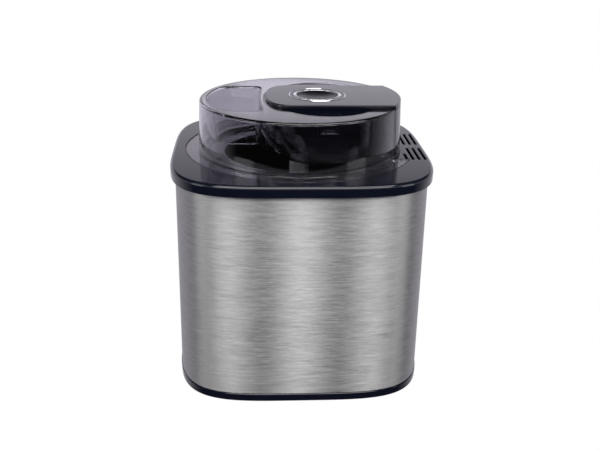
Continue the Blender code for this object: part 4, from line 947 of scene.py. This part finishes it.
def make_housing():
    low = POCKET_FLOOR_TOP + FIT
    high = housing_high.z
    floor = low + UNIT_WALL
    rings = [
        (unit_outline(EDGE, wall_radius(low)), low),
        (unit_outline(0.0, wall_radius(low)), low + EDGE),
        (unit_outline(0.0, wall_radius(high)), high),
    ]
    housing = loft("motor_body", rings, finishes["gloss_black"])
    tail_low = RECESS_Z + 2 * FIT
    tail_end = [point for point in unit_outline(0.0, wall_radius(tail_low)) if point[0] > TAIL_START]
    tail = tail_end + [(TAIL_START, UNIT_HALF_WIDTH), (TAIL_START, -UNIT_HALF_WIDTH)]
    _, seal_radius, seal_low, _ = upright("shaft_seal")
    join(
        housing,
        prism("tail", tail, tail_low, low + 1.0),
        cylinder("nose", NOSE_HOLE - SLIDE, seal_low - FIT, low + 1.0, count=ROUND),
    )
    room = loft(
        "room",
        [
            (unit_outline(UNIT_WALL, wall_radius(floor)), floor),
            (unit_outline(UNIT_WALL, wall_radius(high)), high + 1),
        ],
    )
    seal_bottom = min(housing_low.z, tail_low) - 5
    inner = UNIT_HALF_WIDTH - UNIT_WALL
    inner_start = TAIL_START + UNIT_WALL
    inner_end = [p for p in unit_outline(UNIT_WALL, wall_radius(tail_low)) if p[0] > inner_start]
    tail_room = inner_end + [(inner_start, inner), (inner_start, -inner)]
    cutters = [
        room,
        prism("tail_room", tail_room, tail_low + UNIT_WALL, floor + 1),
        cylinder("seal_seat", seal_radius + FIT, seal_bottom, floor + 1, count=ROUND),
    ]
    for side in (-1, 1):
        window = latch_outline(0.5)
        cutter = loft(f"window_{side}", [(window, -6.0), (window, 6.0)])
        cutters.append(place_on_side(cutter, side))
    for i in range(1, 5):
        at, radius, _, _ = upright(f"cover_screw_{i}")
        cutters.append(cylinder(f"screw_pocket_{i}", radius + FIT, low - 1, floor + 1, at))
    cut(housing, *cutters)
    settle(housing, "motor_unit", "gloss_black", "motor_housing")


def latch_outline(margin):
    """A release latch's rounded square, about its own centre."""
    half = LATCH_SIZE / 2 + margin
    return rounded_rectangle(-half, half, -half, half, 3.0 + margin)


def place_on_side(piece, side):
    """Stands a body built upwards about the origin at the latch on the front (-1) or rear (1) side."""
    at = middle("release_latch_front")
    return facing_y(piece, side, (at.x, side * UNIT_HALF_WIDTH, LATCH_Z))


def make_latches():
    """A pad with a raised rounded border and a shallow dip for the fingertip."""
    for side, name in ((-1, "front"), (1, "rear")):
        rings = [
            (latch_outline(0.0), -4.0),
            (latch_outline(0.0), LATCH_LIFT - 0.4),
            (latch_outline(-0.15), LATCH_LIFT - 0.12),
            (latch_outline(-0.5), LATCH_LIFT),
            (latch_outline(-LATCH_BORDER), LATCH_LIFT),
            (latch_outline(-LATCH_BORDER - 0.5), LATCH_LIFT - 0.5),
            (latch_outline(-LATCH_BORDER - 2.5), -LATCH_DIP * 0.6),
            (latch_outline(-LATCH_BORDER - 5.0), -LATCH_DIP),
        ]
        pad = loft(f"latch_pad_{name}", rings, finishes["gloss_black"])
        place_on_side(pad, side)
        settle(pad, f"latch_{name}", "gloss_black", f"release_latch_{name}")


def make_cover():
    """The flat top with the button's hole, the trim ring's step and the light ring's groove."""
    bm = bmesh.new()
    under = UNIT_TOP - COVER_THICKNESS
    _, trim_radius, trim_low, _ = upright("button_trim_ring")
    hole = trim_radius - TRIM_WIDTH
    seat = trim_radius + FIT
    light_low, light_high = span("button_light_ring")
    light_out = light_high.x - BUTTON_AT.x + FIT
    light_in = light_out - LIGHT_WIDTH - 2 * FIT
    rows = [add_loop(bm, unit_outline(0.3, wall_radius(under)), under)]
    rows.append(add_loop(bm, unit_outline(0.0, wall_radius(under)), under + 0.3))
    for growth, drop in reversed(edge_profile(COVER_ROUND)):
        rows.append(add_loop(bm, unit_outline(growth, wall_radius(LID_TOP)), UNIT_TOP - drop))
    skin(bm, rows)
    groove = [
        (light_out + RING_EDGE, UNIT_TOP),
        (light_out, UNIT_TOP - RING_EDGE),
        (light_out, light_low.z),
        (light_in, light_low.z),
        (light_in, UNIT_TOP - RING_EDGE),
        (light_in - RING_EDGE, UNIT_TOP),
        (seat + RING_EDGE, UNIT_TOP),
        (seat, UNIT_TOP - RING_EDGE),
        (seat, trim_low - FIT),
        (hole, trim_low - FIT),
        (hole, under),
    ]
    turned = [add_loop(bm, circle(radius, ROUND, BUTTON_AT), z) for radius, z in groove]
    skin(bm, turned)
    fill(bm, rows[-1], turned[0])
    fill(bm, rows[0], turned[-1])
    cover = write("motor_cover_gloss", bm, finishes["cover_black"])
    settle(cover, "motor_unit", "gloss_black", "motor_top_cover")


def make_button_rings():
    """The crowned trim ring at the button's edge, and the thin bright ring let into the cover."""
    _, outer, low, _ = upright("button_trim_ring")
    inner = outer - TRIM_WIDTH
    ridge = (inner + outer) / 2
    crown = 8
    profile = [(inner, low), (inner, UNIT_TOP - 0.2)]
    for i in range(crown + 1):
        turn = pi * i / crown
        height = UNIT_TOP - 0.1 + TRIM_CROWN * sin(turn)
        profile.append((ridge - TRIM_WIDTH / 2 * cos(turn), height))
    profile += [(outer, UNIT_TOP - 0.2), (outer, low)]
    trim = lathe("trim_ring_chrome", profile, BUTTON_AT, ROUND, finishes["satin_chrome"])
    settle(trim, "motor_unit", "chrome", "button_trim_ring")
    _, outer, low, high = upright("button_light_ring")
    inner = outer - LIGHT_WIDTH
    edge = 0.25
    profile = [
        (inner, low),
        (inner, high - edge),
        (inner + edge, high),
        (outer - edge, high),
        (outer, high - edge),
        (outer, low),
    ]
    ring = lathe("light_ring_bright", profile, BUTTON_AT, ROUND, finishes["chrome"])
    settle(ring, "motor_unit", "chrome", "button_light_ring")


def make_button():
    """A dished cap with a flange that stops it under the cover, and a stem down to the switch."""
    _, flange, low, _ = upright("power_button")
    top = UNIT_TOP - BUTTON_SINK
    stem = 4.0
    dish_steps = 10
    profile = []
    for i in range(1, dish_steps + 1):
        share = i / dish_steps
        profile.append(((BUTTON_RADIUS - 1.0) * share, top - BUTTON_DISH * (1 - share**2)))
    for growth, drop in edge_profile(0.8)[1:]:
        profile.append((BUTTON_RADIUS - growth, top - drop))
    flange_top = UNIT_TOP - COVER_THICKNESS - FIT
    flange_low = flange_top - BUTTON_FLANGE
    profile += [
        (BUTTON_RADIUS, flange_top),
        (flange, flange_top),
        (flange, flange_low),
        (stem, flange_low),
        (stem, low),
    ]
    finish = finishes["button_black"]
    button = lathe("power_button_dished", profile, BUTTON_AT, ROUND, finish, closed=False)
    settle(button, "power_button", "gloss_black", "power_button")


# ---------------------------------------------------------------- bowl and paddle


def make_bowl():
    for name, node, finish, slot in (
        ("bowl_rim_ring", "bowl_rim", "gloss_black", "gloss_black"),
        ("bowl_outer_moulding", "bowl_outer_shell", "grey_plastic", "grey_plastic"),
        # the bowl's inner shell takes the aluminium darkened as painted shade
        ("bowl_inner_spun", "bowl_inner_shell", "painted_shade_aluminium", "aluminium"),
    ):
        low, high = span(node)
        ring = node == "bowl_rim"
        section = rim_profile if ring else shell_profile
        profile = section(high.x, low.z, high.z)
        made = lathe(name, profile, count=FINE, finish=finishes[finish], closed=ring)
        settle(made, "bowl", slot, node)


def rim_profile(outer, low, high):
    """The rim ring's section: a rounded flat ring with a tongue between the bowl's two shells."""
    shelf = high - BOWL_RIM_THICKNESS
    tongue_out = outer - BOWL_RIM_OVERHANG - BOWL_TONGUE_INSET
    tongue_in = tongue_out - BOWL_TONGUE_WIDTH
    rounding = edge_profile(BOWL_RIM_ROUND)
    inside = [(BOWL_INNER_R + growth, high - drop) for growth, drop in reversed(rounding)]
    outside = [(outer - growth, high - drop) for growth, drop in rounding]
    return inside + outside + [
        (outer, shelf),
        (tongue_out, shelf),
        (tongue_out, low),
        (tongue_in, low),
        (tongue_in, shelf),
        (BOWL_INNER_R, shelf),
    ]


def shell_profile(outer, low, high):
    """A bowl shell's section, from the middle of its underside over the lip to the middle inside."""
    inner = outer - BOWL_WALL
    floor = low + BOWL_WALL
    inner_round = BOWL_FOOT_ROUND - BOWL_WALL
    outside = [(outer - growth, low + drop) for growth, drop in edge_profile(BOWL_FOOT_ROUND, 6)]
    inside = [(inner - growth, floor + drop) for growth, drop in edge_profile(inner_round, 6)]
    return outside + [(outer, high), (inner, high)] + inside[::-1]


def make_well():
    """The well that the bowl stands in, hung from the bezel, with a ring to stand on."""
    low, high = span("inner_well")
    bowl_radius = BOWL_RIM_R - BOWL_RIM_OVERHANG
    radius = bowl_radius + WELL_ROOM
    outer = radius + WELL_WALL
    profile = [(outer - growth, low.z + drop) for growth, drop in edge_profile(3.0)]
    profile += [(outer, high.z - 2.5), (high.x, high.z - 2.5), (high.x, high.z), (radius, high.z)]
    rib_out = bowl_radius - WELL_RIB_INSET
    rib_in = rib_out - WELL_RIB_WIDTH
    rib_edge = 0.3
    floor = low.z + WELL_WALL
    rib_top = floor + WELL_RIB_HEIGHT
    inner = [(radius - growth, floor + drop) for growth, drop in edge_profile(1.5)]
    profile += inner[::-1]
    profile += [(rib_out, floor), (rib_out, rib_top - rib_edge), (rib_out - rib_edge, rib_top)]
    profile += [(rib_in + rib_edge, rib_top), (rib_in, rib_top - rib_edge), (rib_in, floor)]
    finish = finishes["grey_plastic"]
    well = lathe("inner_well_moulding", profile, count=FINE, finish=finish, closed=False)
    cutters = []
    for i in range(1, 5):
        for name, node, bottom, top in (
            ("well_hole", "base_screw", low.z - 1, floor + 5),
            ("flange_hole", "bezel_screw", high.z - 4, high.z + 1),
        ):
            at = upright(f"{node}_{i}")[0]
            cutters.append(cylinder(f"{name}_{i}", WELL_SCREW_HOLE, bottom, top, at))
    socket_low, socket_high = span("contact_socket")
    cutters.append(
        box(
            "socket_notch",
            (socket_low.x - 1, socket_low.y - 1, high.z - 12.5),
            (socket_high.x + 1, socket_high.y + 1, high.z + 1),
        )
    )
    cut(well, *cutters)
    settle(well, "base", "grey_plastic", "inner_well")


def make_paddle():
    """An open frame with a scraper at each end and a square socket in its hub."""
    low, high = span("paddle")
    reach = high.x
    frame_low = low.z + 2.0 + FIT
    frame_high = high.z - PADDLE_HUB_HEIGHT
    half = 2.5
    outline = rounded_rectangle(-reach + 5, reach - 5, frame_low, frame_high, 4.0)
    body = flat_plate("paddle_frame", outline, half, 1.2, finishes["white_plastic"])
    windows = []
    for side in (-1, 1):
        x0, x1 = sorted((side * PADDLE_BAR / 2, side * (reach - 10.0)))
        window = rounded_rectangle(x0, x1, frame_low + PADDLE_BAR, frame_high - PADDLE_BAR, 4.0)
        windows.append(flat_plate(f"paddle_window_{side}", window, half + 1, 0.01, None))
    cut(body, *windows)
    parts = [paddle_blade(side, reach, frame_low - 1.0, frame_high + 1.0) for side in (-1, 1)]
    hub = 9.0
    rounding = edge_profile(1.0)
    profile = [(hub - growth, frame_high - PADDLE_BAR + drop) for growth, drop in rounding]
    profile += [(hub - growth, high.z - drop) for growth, drop in reversed(rounding)]
    parts.append(lathe("paddle_hub", profile, count=ROUND, closed=False))
    parts.append(cylinder("paddle_peg", 4.0, low.z, frame_low + 2.0))
    join(body, *parts)
    socket_low = (-PADDLE_SOCKET, -PADDLE_SOCKET, high.z - 20.0)
    socket_high = (PADDLE_SOCKET, PADDLE_SOCKET, high.z + 1)
    cut(body, box("socket", socket_low, socket_high))
    settle(body, "paddle", "white_plastic", "paddle")


def flat_plate(name, outline_xz, half, edge, finish):
    """A plate in the XZ plane, half thick each way, with rounded edges."""
    rings = []
    for growth, drop in edge_profile(edge):
        rings.append((grown(outline_xz, -growth), half - drop))
    rings += [(outline, -z) for outline, z in reversed(rings)]
    plate = loft(name, rings, finish)
    plate.data.transform(Matrix.Rotation(radians(90), 4, "X"))
    return plate


def paddle_blade(side, reach, low, high):
    """An upright scraper, set at an angle to the frame."""
    turn = radians(32.0)
    width = 13.0
    thickness = 3.0
    centre = side * (reach - width / 2 * cos(turn) - thickness / 2)
    flat = rounded_rectangle(-width / 2, width / 2, -thickness / 2, thickness / 2, 1.2)
    outline = [
        (centre + side * (u * cos(turn) - v * sin(turn)), side * (u * sin(turn) + v * cos(turn)))
        for u, v in flat
    ]
    rings = [(grown(outline, -growth), low + drop) for growth, drop in edge_profile(0.8)]
    rings += [(grown(outline, -growth), high - drop) for growth, drop in reversed(edge_profile(0.8))]
    return loft(f"blade_{side}", rings)


# ---------------------------------------------------------------- small parts


def make_feet():
    for i in range(1, 5):
        at, radius, _, high = upright(f"foot_{i}")
        profile = [(1.5, 0.5), (4.0, 0.5), (4.4, 0.0)]
        profile += [(radius - growth, drop) for growth, drop in edge_profile(0.8)]
        profile.append((radius, high))
        foot = lathe(f"foot_pad_{i}", profile, at, ROUND, finishes["rubber"], closed=False)
        settle(foot, "base", "rubber", f"foot_{i}")


def make_gland():
    """The cord inlet's rubber bush: a flange each side of the steel and a bore with a rounded mouth."""
    low, high = span("cord_gland")
    at = middle("cord_gland")
    flange = (high.x - low.x) / 2
    neck = INLET_HOLE - FIT
    wall = HALF_DEPTH - SLEEVE_INSET
    outer = wall + FIT
    inner = wall - SLEEVE_THICKNESS - FIT
    bore = 3.3
    profile = [(bore, low.y), (bore, high.y - 0.8)]
    profile += [(bore + growth, high.y - drop) for growth, drop in edge_profile(0.8)][::-1][1:]
    profile += [(flange - growth, high.y - drop) for growth, drop in edge_profile(0.7)]
    profile += [(flange, outer), (neck, outer), (neck, inner), (flange, inner), (flange, low.y)]
    section = [(radius, y - at.y) for radius, y in profile]
    gland = lathe("cord_inlet_bush", section, finish=finishes["rubber"])
    facing_y(gland, 1, (at.x, at.y, at.z))
    settle(gland, "base", "rubber", "cord_gland")


def make_screws():
    """Pan-head screws with a cross recess, head down."""
    for body, group in (("base", "base_screw"), ("base", "bezel_screw"), ("motor_unit", "cover_screw")):
        for i in range(1, 5):
            settle(cross_screw(f"{group}_{i}"), body, "steel", f"{group}_{i}")


def cross_screw(node):
    at, radius, low, high = upright(node)
    shank = radius / 2
    head_top = low + SCREW_HEAD
    recess_top = low + SCREW_HEAD * 0.6
    profile = []
    for share in (0.25, 0.5, 0.75, 0.95):
        crown = SCREW_HEAD * 0.75 * (1 - sqrt(1 - share**2 * 0.9))
        profile.append((radius * share, low + crown))
    profile += [(radius, recess_top), (radius, head_top), (shank, head_top)]
    profile += [(shank, high - shank), (shank * 0.3, high)]
    screw = lathe(f"{node}_cross", profile, at, SMALL, finishes["steel"], closed=False)
    arm = radius * 0.55
    width = radius * 0.13
    recess = [
        box(f"arm_{k}", (at.x - x, at.y - y, low - 1), (at.x + x, at.y + y, recess_top))
        for k, (x, y) in enumerate(((arm, width), (width, arm)))
    ]
    return cut(screw, *recess)


def make_shaft_end():
    """The output shaft: round through its bush, square where it drives the paddle."""
    low, high = span("output_shaft")
    _, outer, seal_low, seal_high = upright("shaft_seal")
    square_top = seal_low - FIT
    radius = 4.0
    half = 3.5
    profile = [(radius, square_top - 2.0), (radius, high.z)]
    shaft = lathe("output_shaft_turned", profile, finish=finishes["steel"], closed=False)
    outline = rounded_rectangle(-half, half, -half, half, 0.5, 4)
    rings = [(grown(outline, -growth), low.z + drop) for growth, drop in edge_profile(0.8)]
    rings.append((outline, square_top))
    join(shaft, loft("square", rings))
    settle(shaft, "output", "steel", "output_shaft")
    inner = radius + 0.35
    profile = [(inner, seal_low + 0.6), (inner + 0.6, seal_low), (outer - 0.3, seal_low)]
    profile += [(outer, seal_low + 0.3), (outer, seal_high), (inner, seal_high)]
    seal = lathe("shaft_seal_lip", profile, finish=finishes["rubber"])
    settle(seal, "motor_unit", "rubber", "shaft_seal")


# ---------------------------------------------------------------- stage


def direction(azimuth, elevation):
    """The way out from the object: azimuth is 0 at the front and grows to the right."""
    turn = radians(azimuth)
    rise = radians(elevation)
    return Vector((sin(turn) * cos(rise), -cos(turn) * cos(rise), sin(rise)))


def make_camera():
    data = bpy.data.cameras.new("camera")
    data.sensor_width = 36.0
    data.lens = CAMERA_LENS
    camera = bpy.data.objects.new("camera", data)
    bpy.context.scene.collection.objects.link(camera)
    back = direction(CAMERA_AZIMUTH, CAMERA_ELEVATION)
    right = Vector((0, 0, 1)).cross(back).normalized()
    up = back.cross(right)
    roll = radians(CAMERA_ROLL)
    camera_right = cos(roll) * right + sin(roll) * up
    camera_up = cos(roll) * up - sin(roll) * right
    place = Matrix((camera_right, camera_up, back)).transposed().to_4x4()
    place.translation = (Vector(CAMERA_TARGET) + back * CAMERA_DISTANCE) * MM
    camera.matrix_world = place
    bpy.context.scene.camera = camera


def make_world():
    """White to the camera. To the object: pale low down and on the floor behind, dark elsewhere."""
    world = bpy.data.worlds.new("studio")
    bpy.context.scene.world = world
    world.use_nodes = True
    tree = world.node_tree
    place = add_node(tree, "ShaderNodeTexCoord")
    split = add_node(tree, "ShaderNodeSeparateXYZ")
    tree.links.new(place.outputs["Generated"], split.inputs["Vector"])
    above = between(tree, split.outputs["Z"], BACKDROP, CEILING, BACKDROP_FADE, BACKDROP_TOP)
    below = between(tree, split.outputs["Y"], FLOOR_IN_FRONT, FLOOR_BEHIND, -0.2, 0.4)
    up = between(tree, split.outputs["Z"], 0.0, 1.0, -0.03, 0.03)
    mix = add_node(tree, "ShaderNodeMix")
    tree.links.new(up, mix.inputs["Factor"])
    tree.links.new(below, mix.inputs[2])
    tree.links.new(above, mix.inputs[3])
    studio = tree.nodes["Background"]
    studio.inputs["Color"].default_value = (*STUDIO_TINT, 1.0)
    tree.links.new(mix.outputs[0], studio.inputs["Strength"])
    page = add_node(tree, "ShaderNodeBackground", {"Color": (1.0, 1.0, 1.0, 1.0)})
    path = add_node(tree, "ShaderNodeLightPath")
    either = add_node(tree, "ShaderNodeMixShader")
    tree.links.new(path.outputs["Is Camera Ray"], either.inputs["Fac"])
    tree.links.new(studio.outputs[0], either.inputs[1])
    tree.links.new(page.outputs[0], either.inputs[2])
    tree.links.new(either.outputs[0], tree.nodes["World Output"].inputs["Surface"])


def make_floor():
    """A white floor that the camera sees, but that gloss and clear plastic don't."""
    bm = bmesh.new()
    reach = 60.0
    corners = ((-reach, -reach), (reach, -reach), (reach, reach), (-reach, reach))
    bm.faces.new(add_loop(bm, corners, 0.0))
    mesh = bpy.data.meshes.new("floor")
    bm.to_mesh(mesh)
    bm.free()
    floor = bpy.data.objects.new("floor", mesh)
    bpy.context.scene.collection.objects.link(floor)
    made, _, shader = new_material("pale_floor")
    shader.inputs["Base Color"].default_value = (0.0, 0.0, 0.0, 1.0)
    shader.inputs["Roughness"].default_value = 0.9
    shader.inputs["Specular IOR Level"].default_value = 0.0
    shader.inputs["Emission Color"].default_value = (1.0, 1.0, 1.0, 1.0)
    shader.inputs["Emission Strength"].default_value = 1.0
    mesh.materials.append(made)
    floor.visible_glossy = False
    floor.visible_transmission = False


def add_softbox(name, azimuth, elevation, distance, width, height, power):
    """A soft light that faces the object and is not seen by the camera."""
    data = bpy.data.lights.new(name, "AREA")
    data.shape = "RECTANGLE"
    data.size, data.size_y = width, height
    data.energy = power
    light = bpy.data.objects.new(name, data)
    bpy.context.scene.collection.objects.link(light)
    towards = direction(azimuth, elevation)
    light.location = towards * distance + Vector((0, 0, 0.12))
    light.rotation_mode = "QUATERNION"
    light.rotation_quaternion = towards.to_track_quat("Z", "Y")
    light.visible_camera = False


def make_lights():
    add_softbox("front_top", 0, 42, 2.4, 3.2, 1.2, 62)
    add_softbox("overhead", 10, 74, 1.8, 1.8, 0.5, 16)
    add_softbox("left_strip", -66, 16, 2.2, 0.9, 1.8, 8)
    add_softbox("right_strip", 62, 16, 2.2, 0.9, 1.8, 9)


bpy.context.scene.view_settings.view_transform = "Standard"
make_camera()
make_world()
make_floor()
make_lights()
finishes = make_finishes()
finish_cad_nodes()
make_sleeve()
make_tray()
make_bezel()
make_lid()
make_housing()
make_cover()
make_button_rings()
make_button()
make_latches()
make_bowl()
make_well()
make_paddle()
make_feet()
make_gland()
make_screws()
make_shaft_end()
